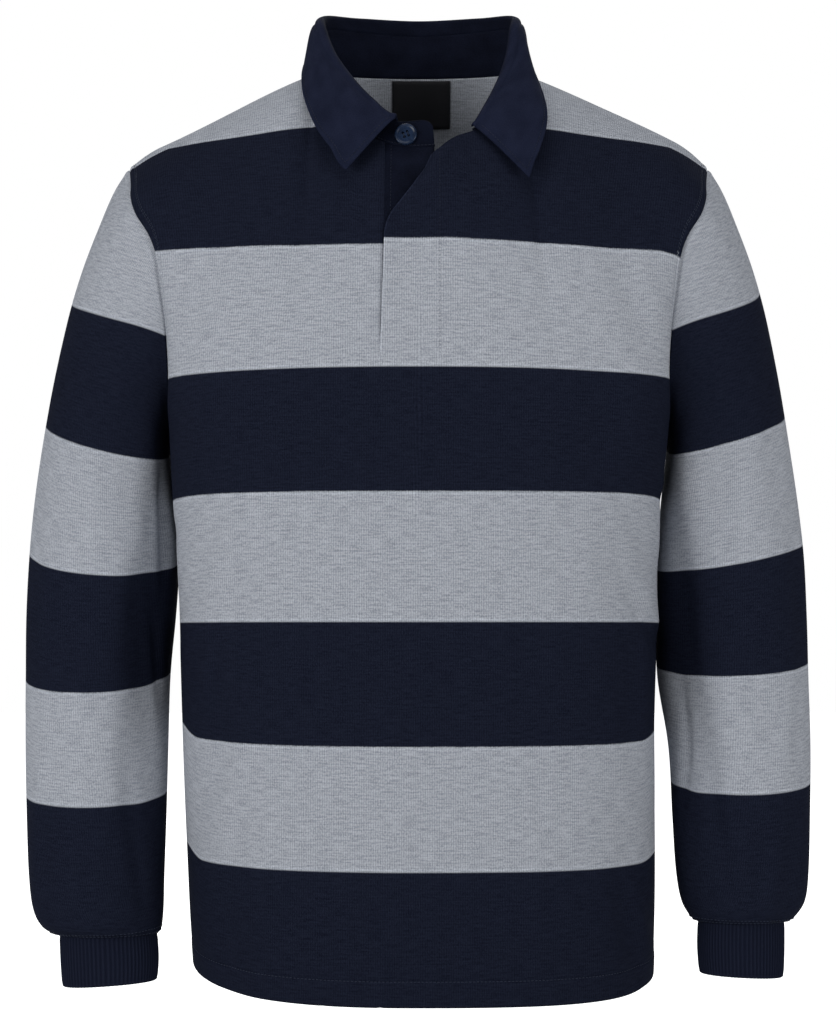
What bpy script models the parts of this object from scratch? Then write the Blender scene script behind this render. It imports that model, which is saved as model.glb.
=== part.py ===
"""Long-sleeved striped rugby shirt, filled out as if worn, with nobody in it.

Every piece is a cloth wall of its own: front, back, two sleeves, two rib cuffs, collar, band,
two plackets and a label, with one button.  Sizes are in millimetres and are scaled to metres
when a mesh is made.  The front faces -Y, +X is on the right of somebody looking at the front,
and the origin is in the middle of the neck opening, level with the neck ends of the shoulders.
"""
import math
from collections import namedtuple

import bmesh
import bpy
import numpy as np

MM = 0.001

# ---- cloth ----
KNIT = 1.8                  # wall of the striped knit
RIB_CLOTH = 2.0             # wall of a cuff between its ribs
BAND_CLOTH = 1.8
LEAF_CLOTH = 1.6
LABEL_CLOTH = 1.0
SEAM_GAP = 0.4              # between two pieces that are sewn together
SLEEVE_GAP = 0.5            # and between a sleeve and the body at the armhole

# ---- body ----
FRONT, BACK = -1, 1         # which way each panel faces along Y
RISE_POWER = {-1: 2.25, 1: 3.6}    # how the -X and +X side of a row climbs above its centre
RISE_LEAN = 0.22            # the rise is larger on the -X side by this share

BodyRow = namedtuple("BodyRow", "z middle_x half_width front back squareness side_rise")
BODY = (                    # rows from the hem up to the underarm, at the centre of the panel
    BodyRow(-737, 4.0, 184.0, 118, 110, 2.40, 22),
    BodyRow(-690, 3.3, 186.0, 118, 110, 2.40, 13),
    BodyRow(-635, 2.2, 187.5, 117, 109, 2.40, 8),
    BodyRow(-540, 0.0, 189.5, 116, 107, 2.45, 8),
    BodyRow(-444, 0.0, 192.0, 117, 107, 2.60, -1),
    BodyRow(-390, -0.8, 193.2, 119, 109, 2.75, -3),
    BodyRow(-344, -1.2, 195.7, 121, 112, 3.00, -5),
    BodyRow(-284, 0.0, 199.5, 123, 115, 3.50, -4),
)
HEM_Z = BODY[0].z
UNDERARM_Z = BODY[-1].z

# ---- neck and shoulders ----
NECK_HALF = 80.0
NECK_MID_Y = 4.0
NECK_FRONT_Y = -85.0
NECK_BACK_Y = 62.0
NECK_SIDE_Z = 3.5
NECK_FRONT_Z = -74.0
NECK_BACK_Z = 9.0
NECK_SCOOP = 1.15           # power of the front neck's curve
NECK_SHARE = 0.23           # share of a panel's half width that ends at the neck
NeckDraw = namedtuple("NeckDraw", "x rise")
NECK_DRAW = (               # the open +X side droops at the placket, and rises to the collar's end
    NeckDraw(8, -9.0),
    NeckDraw(12, -8.5),
    NeckDraw(15, -7.0),
    NeckDraw(20, -3.0),
    NeckDraw(26, 0.5),
    NeckDraw(31, 2.5),
    NeckDraw(42, 2.4),
    NeckDraw(54, 0.6),
    NeckDraw(66, 0.0),
)
DRAW_SLOPE = 0.5            # how far back the drawn cloth goes as it rises
DRAW_FADE = 8               # power by which that fades down the front
SHOULDER_TOP_Z = 6.0        # height of the shoulders' line at the neck
SHOULDER_DIP_REACH = 62.0   # near the neck the shoulders dip below it
SHOULDER_SLOPE = -0.4755
SHOULDER_DROP = 0.01        # extra fall near the sleeve, per mm squared
SHOULDER_DROP_X = 208.0
SHOULDER_LEAN = 2.2         # the +X shoulder stands this much higher, the other lower

ArmholePoint = namedtuple("ArmholePoint", "x y z")
ARMHOLE = {                 # each half runs from the underarm up to the shoulder point
    FRONT: (
        ArmholePoint(199.5, 0, -288),
        ArmholePoint(198.5, -28, -278),
        ArmholePoint(197.0, -52, -253),
        ArmholePoint(198.5, -65, -213),
        ArmholePoint(202.5, -67, -184),
        ArmholePoint(208.0, -65, -155),
        ArmholePoint(213.5, -62, -140),
        ArmholePoint(225.0, -54, -121),
        ArmholePoint(230.0, -42, -107),
        ArmholePoint(232.0, -24, -93),
        ArmholePoint(236.0, 5, -76),
    ),
    BACK: (
        ArmholePoint(199.5, 0, -288),
        ArmholePoint(199.0, 30, -279),
        ArmholePoint(201.0, 58, -252),
        ArmholePoint(204.0, 74, -215),
        ArmholePoint(208.0, 79, -180),
        ArmholePoint(213.0, 76, -148),
        ArmholePoint(221.0, 62, -118),
        ArmholePoint(229.0, 36, -93),
        ArmholePoint(236.0, 5, -76),
    ),
}

# The shoulders of each panel hang between two more rows: one across the chest or the shoulder
# blades, and one just below the top edge, reached from it along a falling direction.
ChestRow = namedtuple("ChestRow", "half_width edge_depth mid_depth z squareness")
CHEST = {
    FRONT: ChestRow(208, 52, 124, -218, 2.9),
    BACK: ChestRow(209, 58, 117, -190, 2.9),
}
TopFall = namedtuple("TopFall", "share out down reach")
TOP_FALL = {                # share runs from the centre (0) over the neck's end to the sleeve (1)
    FRONT: (
        TopFall(0.00, 0.45, 0.89, 50),
        TopFall(0.15, 0.80, 0.60, 76),
        TopFall(0.23, 0.95, 0.31, 88),
        TopFall(0.60, 0.93, 0.36, 74),
        TopFall(1.00, 0.90, 0.43, 60),
    ),
    BACK: (
        TopFall(0.00, 0.62, 0.78, 50),
        TopFall(0.11, 0.75, 0.66, 58),
        TopFall(0.17, 0.83, 0.56, 75),
        TopFall(0.23, 0.90, 0.43, 90),
        TopFall(0.33, 0.92, 0.39, 86),
        TopFall(0.60, 0.93, 0.36, 74),
        TopFall(1.00, 0.93, 0.36, 66),
    ),
}

LOWER_ROWS = 11             # from the hem to the underarm
UPPER_ROWS = 14             # from the underarm to the top edge; a sleeve has twice as many points
OUTER_SHARES = (NECK_SHARE, 0.33, 0.43, 0.54, 0.66, 0.78, 0.89, 1.0)
NECK_SHARES = {             # columns of each panel that end at the neck, besides the middle ones
    FRONT: (0.10, 0.165),
    BACK: (0.055, 0.11, 0.17),
}

# ---- soft folds of the body, raised (+) or sunk (-) ----
Fold = namedtuple("Fold", "face x z half_x half_z lean depth")
BODY_FOLDS = (
    Fold(FRONT, -150, -455, 16, 75, 0.25, -2.5),
    Fold(FRONT, 158, -430, 15, 70, -0.20, -2.5),
    Fold(FRONT, -120, -330, 24, 60, -0.30, -2.0),
    Fold(FRONT, 125, -320, 24, 60, 0.30, -2.0),
    Fold(FRONT, 165, -665, 13, 60, -0.10, -3.0),
    Fold(BACK, -130, -430, 20, 120, 0.15, -3.5),
    Fold(BACK, 125, -440, 20, 120, -0.15, -3.5),
    Fold(BACK, 0, -600, 30, 110, 0.00, -3.0),
)

# ---- slit and plackets ----
SLIT_ROW = 3                # upper row at which the slit ends
PLACKET_SEAM_X = 15.0
LAP = KNIT + SEAM_GAP       # how far the upper placket stands off the body
LAP_FADE = 34.0             # the front sinks back to the body over this width
LAP_RISE = 0.09             # and over this share of the height above the slit's end
FLARE = 5.0                 # the open corner stands off by this much more
FLARE_HEIGHT = 55.0
FLARE_FADE_X = 42.0
ROLL_IN = 3.4               # and its edge rolls back in by this much
EdgePoint = namedtuple("EdgePoint", "z x")
SLIT_EDGE = (               # cut edge of the front, on the -X side of the slit
    EdgePoint(-238, -29.9),
    EdgePoint(-143, -26.9),
    EdgePoint(-74, -26.4),
)
OPEN_EDGE = (               # free edge of the upper placket
    EdgePoint(-238, -29.4),
    EdgePoint(-143, -26.4),
    EdgePoint(-134, -23.8),
    EdgePoint(-126, -19.5),
    EdgePoint(-119, -14.5),
    EdgePoint(-104, -4.0),
    EdgePoint(-89, 5.5),
    EdgePoint(-74, 10.5),
)
PLACKET_COLUMNS = 5
UNDER_RIGHT_X = 12.0
BESIDE_PLACKET = 0.055      # share of the front's column between the placket and the next one
UNDER_COLUMNS = 4

# ---- sleeves ----
SleeveRow = namedtuple("SleeveRow", "inner_x inner_z outer_x outer_z mid_y half_depth")
ARM = (                     # the first row is the flat ring that stands for the armhole
    SleeveRow(199.5, -288, 236.0, -76, 2, 70),
    SleeveRow(201.8, -294, 248.0, -95, 4, 70),
    SleeveRow(202.6, -299, 259.5, -121, 7, 70),
    SleeveRow(202.6, -305, 272.0, -153, 10, 69),
    SleeveRow(202.0, -313, 282.5, -187, 13, 68),
    SleeveRow(200.7, -324, 291.0, -222, 16, 66.5),
    SleeveRow(199.0, -338, 298.5, -258, 18, 65),
    SleeveRow(197.4, -356, 305.5, -299, 20, 63),
    SleeveRow(195.6, -379, 311.8, -344, 21, 60.5),
)
FOREARM = {                 # the rest of each sleeve; the last rows are gathered into its cuff
    -1: (
        SleeveRow(195.8, -406, 316.2, -390, 21, 58),
        SleeveRow(197.8, -443, 318.5, -440, 19, 55.5),
        SleeveRow(201.0, -490, 318.0, -490, 13, 53),
        SleeveRow(201.5, -545, 316.3, -545, 2, 50),
        SleeveRow(202.0, -600, 313.7, -600, -8, 47),
        SleeveRow(203.0, -645, 311.0, -645, -14, 44.5),
        SleeveRow(203.3, -672, 307.0, -672, -18, 42.0),
        SleeveRow(204.5, -686, 299.5, -686, -20, 38.0),
        SleeveRow(207.0, -691.5, 289.5, -691.5, -21, 30.5),
        SleeveRow(208.5, -691.0, 285.0, -691.0, -21, 26.5),
    ),
    1: (
        SleeveRow(194.0, -406, 316.0, -390, 22, 58),
        SleeveRow(193.4, -443, 317.0, -440, 22, 55.5),
        SleeveRow(194.0, -490, 316.7, -490, 17, 53),
        SleeveRow(201.5, -545, 316.0, -545, 4, 50),
        SleeveRow(203.5, -600, 313.5, -600, -8, 47),
        SleeveRow(205.5, -640, 311.5, -640, -14, 44.5),
        SleeveRow(209.0, -664, 308.5, -664, -17, 41.5),
        SleeveRow(214.5, -676, 301.5, -676, -19, 37.5),
        SleeveRow(220.0, -681.5, 294.5, -681.5, -20, 30.0),
        SleeveRow(223.0, -681.0, 290.5, -681.0, -21, 26.0),
    ),
}
SLEEVE_SQUARENESS = 2.15
TUCK = 4.0                  # the outside of the +X sleeve lies closer by this much
TUCK_Z, TUCK_HALF_Z = -300, 135
ARMHOLE_FADE = (1.0, 0.74, 0.52, 0.34, 0.2, 0.1, 0.04)

ArmFold = namedtuple("ArmFold", "turn z half_turn half_z depth")
ARM_FOLDS = (               # turn runs round the sleeve: 0 inside, 0.25 front, 0.5 outside
    ArmFold(0.13, -430, 0.045, 95, -5.0),
    ArmFold(0.17, -560, 0.045, 80, -3.5),
    ArmFold(0.36, -640, 0.050, 45, -3.0),
    ArmFold(0.84, -430, 0.060, 90, -4.0),
    ArmFold(0.70, -600, 0.060, 80, -3.0),
)

# ---- cuffs ----
CuffRow = namedtuple("CuffRow", "inner_x inner_z outer_x outer_z mid_y half_depth")
CUFF = {
    -1: (
        CuffRow(208.5, -691.6, 285.0, -691.6, -21.0, 26.5),
        CuffRow(207.2, -711.0, 283.8, -713.0, -22.5, 26.8),
        CuffRow(208.0, -727.5, 282.2, -732.5, -24.0, 26.0),
    ),
    1: (
        CuffRow(223.0, -681.6, 290.5, -681.6, -21.0, 26.0),
        CuffRow(222.3, -702.5, 290.2, -703.5, -22.5, 26.3),
        CuffRow(223.5, -722.0, 289.2, -725.0, -24.0, 25.5),
    ),
}
CUFF_RIBS = 72
RIB_RAISE = 0.7

# ---- collar ----
CollarRow = namedtuple("CollarRow", "sweep fold_x fold_y fold_z edge_x edge_y edge_z")
COLLAR = (                  # sweep goes round the neck from the front, past -X, the back and +X
    CollarRow(-8, 11, -81, -46, -30, -104, -92),
    CollarRow(12, -17, -79, -47.5, -56, -103, -93.5),
    CollarRow(34, -34, -64, -33, -69, -92, -74),
    CollarRow(56, -51, -43, -11, -82, -76, -53),
    CollarRow(74, -66.5, -21, 15, -92, -46, -24),
    CollarRow(92, -76, 4, 41, -94, -4, 4.5),
    CollarRow(115, -76.5, 28, 55, -86, 40, 8),
    CollarRow(145, -50, 57, 60, -56, 77, 6),
    CollarRow(180, 0, 68, 60, 0, 88, 3),
    CollarRow(215, 50, 57, 60, 56, 77, 6),
    CollarRow(245, 76.5, 28, 55, 86, 40, 8),
    CollarRow(268, 75, 4, 41, 92, -4, 4.5),
    CollarRow(286, 70.5, -17, 14, 100, -42, -25),
    CollarRow(304, 62, -37, -12, 101, -70, -52),
    CollarRow(327, 42.5, -72, -53, 86, -98, -99),
)
BAND_START, LEAF_START, COLLAR_END = -9.0, 12.0, 327.0
COLLAR_STEP = 7.0           # the band and the collar share these stations
LEAF_RISE_FRONT = 5.0       # how far the collar stands above the band before it folds
LEAF_RISE_BACK = 15.0
FOLD_RADIUS = 4.5
BAND_END_RADIUS = 11.0
BAND_END_SHARE = 0.4        # share of the band's height that is left at its ends, at the least
LEAF_BOW = 3.0
LEAF_SHARES = (0.25, 0.6, 1.0)      # points down the outside of the collar

# ---- label and button ----
LABEL_LEFT_X, LABEL_RIGHT_X = -22.0, 26.5
LABEL_TOP_Z, LABEL_BOTTOM_Z = 8.6, -29.0
LABEL_ROWS, LABEL_COLUMNS = 5, 6
LABEL_GAP = 0.7
BUTTON_SWEEP = 6.6
BUTTON_UP = 0.47            # height on the band, as a share
BUTTON_RADIUS = 8.7
BUTTON_THICK = 2.6
BUTTON_RIM = 1.5
BUTTON_DISH = 0.6
BUTTON_ROUND = 0.6          # how much its edges are rounded off
BUTTON_SLOPE = 1.0          # width of the slope from the rim down to the dish
BUTTON_SEAT = 0.6           # how far it stands off the band
BUTTON_SIDES = 28
BUTTON_HOLES = 4
BUTTON_HOLE_RADIUS = 1.0
BUTTON_HOLE_SPREAD = 1.9
BUTTON_HOLE_SIDES = 8
DRILL_OVERRUN = 2.0

Finish = namedtuple("Finish", "colour roughness")
GREY_KNIT = Finish((0.34, 0.36, 0.40), 0.9)
NAVY_TWILL = Finish((0.013, 0.018, 0.038), 0.85)
NAVY_RIB = Finish((0.010, 0.012, 0.022), 0.9)
LABEL_SATIN = Finish((0.010, 0.010, 0.012), 0.5)
NAVY_FACING = Finish((0.007, 0.009, 0.018), 0.9)
BUTTON_RESIN = Finish((0.012, 0.022, 0.055), 0.25)


# ---- curves ----
def smooth(keys, values, at):
    """Value at a key on the smooth curve through the given keys (rising) and values."""
    keys = np.asarray(keys, float)
    values = np.asarray(values, float)
    at = min(max(at, keys[0]), keys[-1])
    i = min(int(np.searchsorted(keys, at, side="right")) - 1, len(keys) - 2)
    chords = (values[1:].T - values[:-1].T) / np.diff(keys)
    chords = chords.T
    before = chords[max(i - 1, 0)]
    after = chords[min(i + 1, len(chords) - 1)]
    slope_a = (before + chords[i]) / 2
    slope_b = (chords[i] + after) / 2
    width = keys[i + 1] - keys[i]
    t = (at - keys[i]) / width
    return ((2 * t**3 - 3 * t**2 + 1) * values[i] + (t**3 - 2 * t**2 + t) * width * slope_a
            + (3 * t**2 - 2 * t**3) * values[i + 1] + (t**3 - t**2) * width * slope_b)


def row_at(table, key, at):
    """The table's other columns, read at a value of its column named key."""
    keys = [getattr(row, key) for row in table]
    others = [name for name in table[0]._fields if name != key]
    values = smooth(keys, [[getattr(row, name) for name in others] for row in table], at)
    return dict(zip(others, values))


def ease(t):
    t = min(max(t, 0.0), 1.0)
    return t * t * (3 - 2 * t)


def unit(v):
    return v / max(np.linalg.norm(v), 1e-9)


def ring_power(value, squareness):
    return math.copysign(abs(value) ** (2 / squareness), value)


# ---- body ----
def neck(sweep):
    """Point of the neck seam; sweep is in degrees from the front, past -X, the back and +X."""
    turn = math.radians(sweep)
    forward = math.cos(turn)
    x = -NECK_HALF * math.sin(turn)
    if forward >= 0:
        y = NECK_MID_Y + (NECK_FRONT_Y - NECK_MID_Y) * forward
        z = NECK_SIDE_Z + (NECK_FRONT_Z - NECK_SIDE_Z) * forward ** NECK_SCOOP
    else:
        y = NECK_MID_Y - (NECK_BACK_Y - NECK_MID_Y) * forward
        z = NECK_SIDE_Z - (NECK_BACK_Z - NECK_SIDE_Z) * forward
    return np.array([x, y, z])


def drawn(x, height):
    """How far the front's open side moves at its neck edge, and less and less below it."""
    rise = row_at(NECK_DRAW, "x", x)["rise"] * max(height - 1, 0) ** DRAW_FADE
    return np.array([0, DRAW_SLOPE * rise, rise])


def open_neck(sweep):
    """Point of the neck seam, drawn as the front is on its open side."""
    point = neck(sweep)
    return point + drawn(point[0], 2) if sweep > 270 else point


def neck_sweep(x):
    return math.degrees(math.asin(-x / NECK_HALF))


def neck_seam(sweep):
    """Point on the straight stretches of the neck seam between the panels' own columns."""
    under = [neck_sweep(x) for x in reversed(under_columns(NECK_FRONT_Z))]
    placket = neck_sweep(PLACKET_SEAM_X + SEAM_GAP) + 360
    front = [90 * share / NECK_SHARE for share in NECK_SHARES[FRONT]]
    back = [90 * share / NECK_SHARE for share in NECK_SHARES[BACK]]
    stops = [BAND_START - 1] + under + [neck_sweep(SLIT_EDGE[-1].x)] + front + [90]
    stops += [180 - turn for turn in reversed(back)] + [180] + [180 + turn for turn in back]
    stops += [270] + [360 - turn for turn in reversed(front)]
    stops += [360 - 90 * BESIDE_PLACKET / NECK_SHARE, placket]
    points = np.array([open_neck(stop) for stop in stops])
    return np.array([np.interp(sweep, stops, points[:, k]) for k in range(3)])


def shoulder(along, side):
    """Point of the shoulder seam, along from the neck (0) to the sleeve (1)."""
    tip = ARMHOLE[FRONT][-1]
    x = NECK_HALF + (tip.x - NECK_HALF) * along
    drop = SHOULDER_DROP * max(x - SHOULDER_DROP_X, 0) ** 2
    near = max(1 - (x - NECK_HALF) / SHOULDER_DIP_REACH, 0)
    drop += (SHOULDER_TOP_Z - NECK_SIDE_Z) * near ** 2
    z = SHOULDER_TOP_Z + SHOULDER_SLOPE * (x - NECK_HALF) - drop
    z += side * SHOULDER_LEAN * math.sin(math.pi * along ** 2)
    return np.array([x, NECK_MID_Y + (tip.y - NECK_MID_Y) * along, z])


def top_edge(face, share, side):
    """Top edge of a panel's +X half: the neck up to NECK_SHARE, then the shoulder."""
    if share <= NECK_SHARE:
        quarter = 90 * share / NECK_SHARE
        return neck(-quarter if face == FRONT else 180 + quarter)
    return shoulder((share - NECK_SHARE) / (1 - NECK_SHARE), side)


def armhole(face, share):
    """Point of the armhole seam on the +X side, share 0 at the underarm, 1 at the shoulder."""
    points = np.array(ARMHOLE[face], float)
    lengths = np.concatenate([[0], np.cumsum(np.linalg.norm(np.diff(points, axis=0), axis=1))])
    return smooth(lengths / lengths[-1], points, share)


def ellipse_row(face, share, half_width, edge_depth, mid_depth, squareness):
    angle = share * math.pi / 2
    x = half_width * ring_power(math.sin(angle), squareness)
    y = edge_depth + (mid_depth - edge_depth) * ring_power(max(math.cos(angle), 0.0), squareness)
    return x, face * y


def lower_point(face, share, side, height):
    z = HEM_Z + (UNDERARM_Z - HEM_Z) * height
    row = row_at(BODY, "z", z)
    depth = row["front"] if face == FRONT else row["back"]
    x, y = ellipse_row(face, share, row["half_width"], 0, depth, row["squareness"])
    rise = row["side_rise"] * share ** RISE_POWER[side]
    if row["side_rise"] > 0:
        rise *= 1 - side * RISE_LEAN
    return np.array([x, y, z + rise])


def upper_point(face, share, side, height):
    start = lower_point(face, share, side, 1.0)
    chest = CHEST[face]
    x, y = ellipse_row(face, share, chest.half_width, chest.edge_depth, chest.mid_depth,
                       chest.squareness)
    top = top_edge(face, share, side)
    fall = row_at(TOP_FALL[face], "share", share)
    way = unit(np.array([0, face * fall["out"], -fall["down"]]))
    control = (start, np.array([x, y, chest.z]), top + way * fall["reach"], top)
    weights = ((1 - height) ** 3, 3 * height * (1 - height) ** 2,
               3 * height ** 2 * (1 - height), height ** 3)
    return sum(w * c for w, c in zip(weights, control))


def fold_depth(face, x, z):
    depth = 0.0
    for fold in BODY_FOLDS:
        if fold.face == face:
            across = (x - fold.x - fold.lean * (z - fold.z)) / fold.half_x
            along = (z - fold.z) / fold.half_z
            depth += fold.depth * math.exp(-across ** 2 - along ** 2)
    return depth


def body_point(face, u, height):
    """Point of a panel: u from -1 to 1 across it, height 0 at the hem, 1 underarm, 2 at the top."""
    side = 1 if u >= 0 else -1
    share = abs(u)
    middle_x = 0.0
    if height <= 1:
        point = lower_point(face, share, side, height)
        middle_x = row_at(BODY, "z", point[2])["middle_x"]
    else:
        up = height - 1
        point = upper_point(face, share, side, up)
        pull = armhole(face, up) - upper_point(face, 1.0, side, up)
        point = point + pull * share ** 3
    point[0] = side * point[0] + middle_x
    outward = unit(np.array([point[0] / BODY[0].half_width ** 2,
                             point[1] / BODY[0].front ** 2, 0.0]))
    return point + outward * fold_depth(face, point[0], point[2])


def u_at_x(face, x, height):
    """The u at which a row of a panel reaches the given x."""
    tries = np.linspace(0, 0.5, 26)
    reach = [body_point(face, math.copysign(t, x), height)[0] for t in tries]
    return math.copysign(float(np.interp(abs(x), np.abs(reach), tries)), x)


def panel_heights():
    lower = [i / LOWER_ROWS for i in range(LOWER_ROWS)]
    return lower + [1 + i / UPPER_ROWS for i in range(UPPER_ROWS + 1)]


def grid_normals(points, closed=False):
    """Unit normals of a grid of points, rows by columns."""
    if closed:
        across = np.roll(points, -1, axis=1) - np.roll(points, 1, axis=1)
    else:
        across = np.gradient(points, axis=1)
    up = np.gradient(points, axis=0)
    normals = np.cross(across, up)
    return normals / np.maximum(np.linalg.norm(normals, axis=2, keepdims=True), 1e-9)


# ---- meshes ----
def add_object(name, vertices, faces, finish, smooth_shade=True):
    mesh = bpy.data.meshes.new(name)
    mesh.from_pydata([tuple(v * MM for v in vertex) for vertex in vertices], [], faces)
    body = bmesh.new()
    body.from_mesh(mesh)
    bmesh.ops.recalc_face_normals(body, faces=body.faces)
    body.to_mesh(mesh)
    body.free()
    if smooth_shade:
        mesh.shade_smooth()
        mesh.set_sharp_from_angle(angle=math.radians(50))
    material = bpy.data.materials.new(name)
    material.use_nodes = True
    shader = material.node_tree.nodes["Principled BSDF"]
    shader.inputs["Base Color"].default_value = (*finish.colour, 1)
    shader.inputs["Roughness"].default_value = finish.roughness
    shader.inputs["Metallic"].default_value = 0.0
    mesh.materials.append(material)
    thing = bpy.data.objects.new(name, mesh)
    bpy.context.scene.collection.objects.link(thing)
    return thing


def add_wall(name, outer, inner, finish, closed=False, missing=()):
    """Close a cloth wall between two grids of points; missing lists the cells left open."""
    rows, columns = outer.shape[:2]
    wide = columns if closed else columns - 1
    layer = rows * columns

    def corner(j, i, below=0):
        return below * layer + j * columns + i % columns

    faces = []
    edges = {}
    for j in range(rows - 1):
        for i in range(wide):
            if (j, i) in missing:
                continue
            loop = [(j, i), (j, i + 1), (j + 1, i + 1), (j + 1, i)]
            faces.append([corner(*c) for c in loop])
            faces.append([corner(*c, 1) for c in reversed(loop)])
            for a, b in zip(loop, loop[1:] + loop[:1]):
                pair = (corner(*a), corner(*b))
                if pair[::-1] in edges:
                    del edges[pair[::-1]]
                else:
                    edges[pair] = True
    faces += [[b, a, a + layer, b + layer] for a, b in edges]
    points = np.concatenate([outer.reshape(-1, 3), inner.reshape(-1, 3)])
    used = sorted({index for face in faces for index in face})
    place = {index: k for k, index in enumerate(used)}
    faces = [[place[index] for index in face] for face in faces]
    return add_object(name, points[used], faces, finish)


# ---- front and back ----
def edge_x(table, z):
    return float(np.interp(z, [row.z for row in table], [row.x for row in table]))


def under_columns(z):
    left = edge_x(SLIT_EDGE, z) + SEAM_GAP
    return [left + (UNDER_RIGHT_X - left) * i / UNDER_COLUMNS for i in range(UNDER_COLUMNS + 1)]


def lap_out(x, height):
    """How far the front stands off the body beside the slit, to lie on the under placket."""
    above = height - 1 - SLIT_ROW / UPPER_ROWS
    lap = LAP * ease(above / LAP_RISE) * (1 - ease((x - PLACKET_SEAM_X) / LAP_FADE))
    open_by = ease((body_point(FRONT, 0.0, height)[2] - OPEN_EDGE[1].z) / FLARE_HEIGHT)
    beside = ease((FLARE_FADE_X - x) / (FLARE_FADE_X - OPEN_EDGE[-1].x))
    return lap + FLARE * open_by * beside


def placket_sink(height):
    """How far the under placket lies behind the body: level with it but for the slit's end."""
    above = height - 1 - SLIT_ROW / UPPER_ROWS
    return LAP * (1 - ease(above / LAP_RISE))


def front_normal(u, height):
    step = 0.01
    across = body_point(FRONT, u + step, height) - body_point(FRONT, u - step, height)
    low, high = max(height - step, 0), min(height + step, 2)
    up = body_point(FRONT, u, high) - body_point(FRONT, u, low)
    return unit(np.cross(across, up))


def front_row_ends(height):
    """u of the front's two cut edges beside the slit and the upper placket."""
    centre_z = body_point(FRONT, 0.0, height)[2]
    left = u_at_x(FRONT, edge_x(SLIT_EDGE, centre_z), height)
    right = u_at_x(FRONT, PLACKET_SEAM_X + SEAM_GAP, height)
    return left, right


def front_grid():
    heights = panel_heights()
    rows = []
    for height in heights:
        left, right = front_row_ends(height)
        shares = NECK_SHARES[FRONT] + OUTER_SHARES
        us = [-share for share in reversed(shares)] + [left, right, BESIDE_PLACKET] + list(shares)
        row = []
        for u in us:
            point = body_point(FRONT, u, height)
            if u >= right:
                lap = front_normal(u, height) * lap_out(point[0], height)
                point = point + lap + drawn(point[0], height)
            row.append(point)
        rows.append(row)
    return np.array(rows)


def back_grid():
    shares = NECK_SHARES[BACK] + OUTER_SHARES
    us = list(reversed(shares)) + [0.0] + [-share for share in shares]
    return np.array([[body_point(BACK, u, height) for u in us] for height in panel_heights()])


def shift(points, face):
    """Part the two panels by the seam's gap."""
    return points + np.array([0, face * SEAM_GAP / 2, 0])


# ---- sleeves ----
def sleeve_rows(side):
    return ARM + FOREARM[side]


def sleeve_turns():
    """Round the sleeve from the underarm by the front to the shoulder and down the back."""
    front = [i / UPPER_ROWS for i in range(UPPER_ROWS + 1)]
    return [(FRONT, s) for s in front] + [(BACK, s) for s in reversed(front[1:-1])]


def flat_ring(row, face, share):
    angle = share * math.pi
    inner = np.array([row.inner_x, 0, row.inner_z])
    outer = np.array([row.outer_x, 0, row.outer_z])
    along = ring_power(math.cos(angle), SLEEVE_SQUARENESS)
    depth = ring_power(math.sin(angle), SLEEVE_SQUARENESS) if 0 < share < 1 else 0.0
    point = (inner + outer) / 2 - (outer - inner) / 2 * along
    point[1] = row.mid_y + face * row.half_depth * depth
    return point


def arm_fold_depth(turn, z):
    depth = 0.0
    for fold in ARM_FOLDS:
        round_by = abs(turn - fold.turn)
        round_by = min(round_by, 1 - round_by) / fold.half_turn
        depth += fold.depth * math.exp(-round_by ** 2 - ((z - fold.z) / fold.half_z) ** 2)
    return depth


def sleeve_grid(side):
    """Rows of a sleeve from the armhole down, on the +X side; mirrored later for the other."""
    rows = sleeve_rows(side)
    turns = sleeve_turns()
    grid = []
    for k, row in enumerate(rows):
        if side > 0 and k:
            tuck = TUCK * math.exp(-((row.outer_z - TUCK_Z) / TUCK_HALF_Z) ** 2)
            row = row._replace(outer_x=row.outer_x - tuck)
        ring = []
        for n, (face, share) in enumerate(turns):
            point = flat_ring(row, face, share)
            if k < len(ARMHOLE_FADE):
                point += (armhole(face, share) - flat_ring(rows[0], face, share)) * ARMHOLE_FADE[k]
            middle = np.array([(row.inner_x + row.outer_x) / 2, row.mid_y, point[2]])
            depth = arm_fold_depth(n / len(turns), point[2]) if k else 0.0
            ring.append(point + unit(point - middle) * depth)
        grid.append(ring)
    grid = np.array(grid)
    away = grid[1] - grid[0]
    away /= np.linalg.norm(away, axis=1, keepdims=True)
    grid[0] += away * SLEEVE_GAP
    return grid


def mirrored(points):
    return points * np.array([-1, 1, 1])


# ---- body and sleeves, joined at mitred seams ----
def panel_normals(points):
    """Normals that lie along the seam plane at the side and shoulder seams."""
    normals = grid_normals(points)
    normals[:, [0, -1], 1] = 0
    beside_neck = np.abs(points[-1, :, 0]) >= NECK_HALF - 1
    normals[-1, beside_neck, 1] = 0
    return normals / np.linalg.norm(normals, axis=2, keepdims=True)


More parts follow.
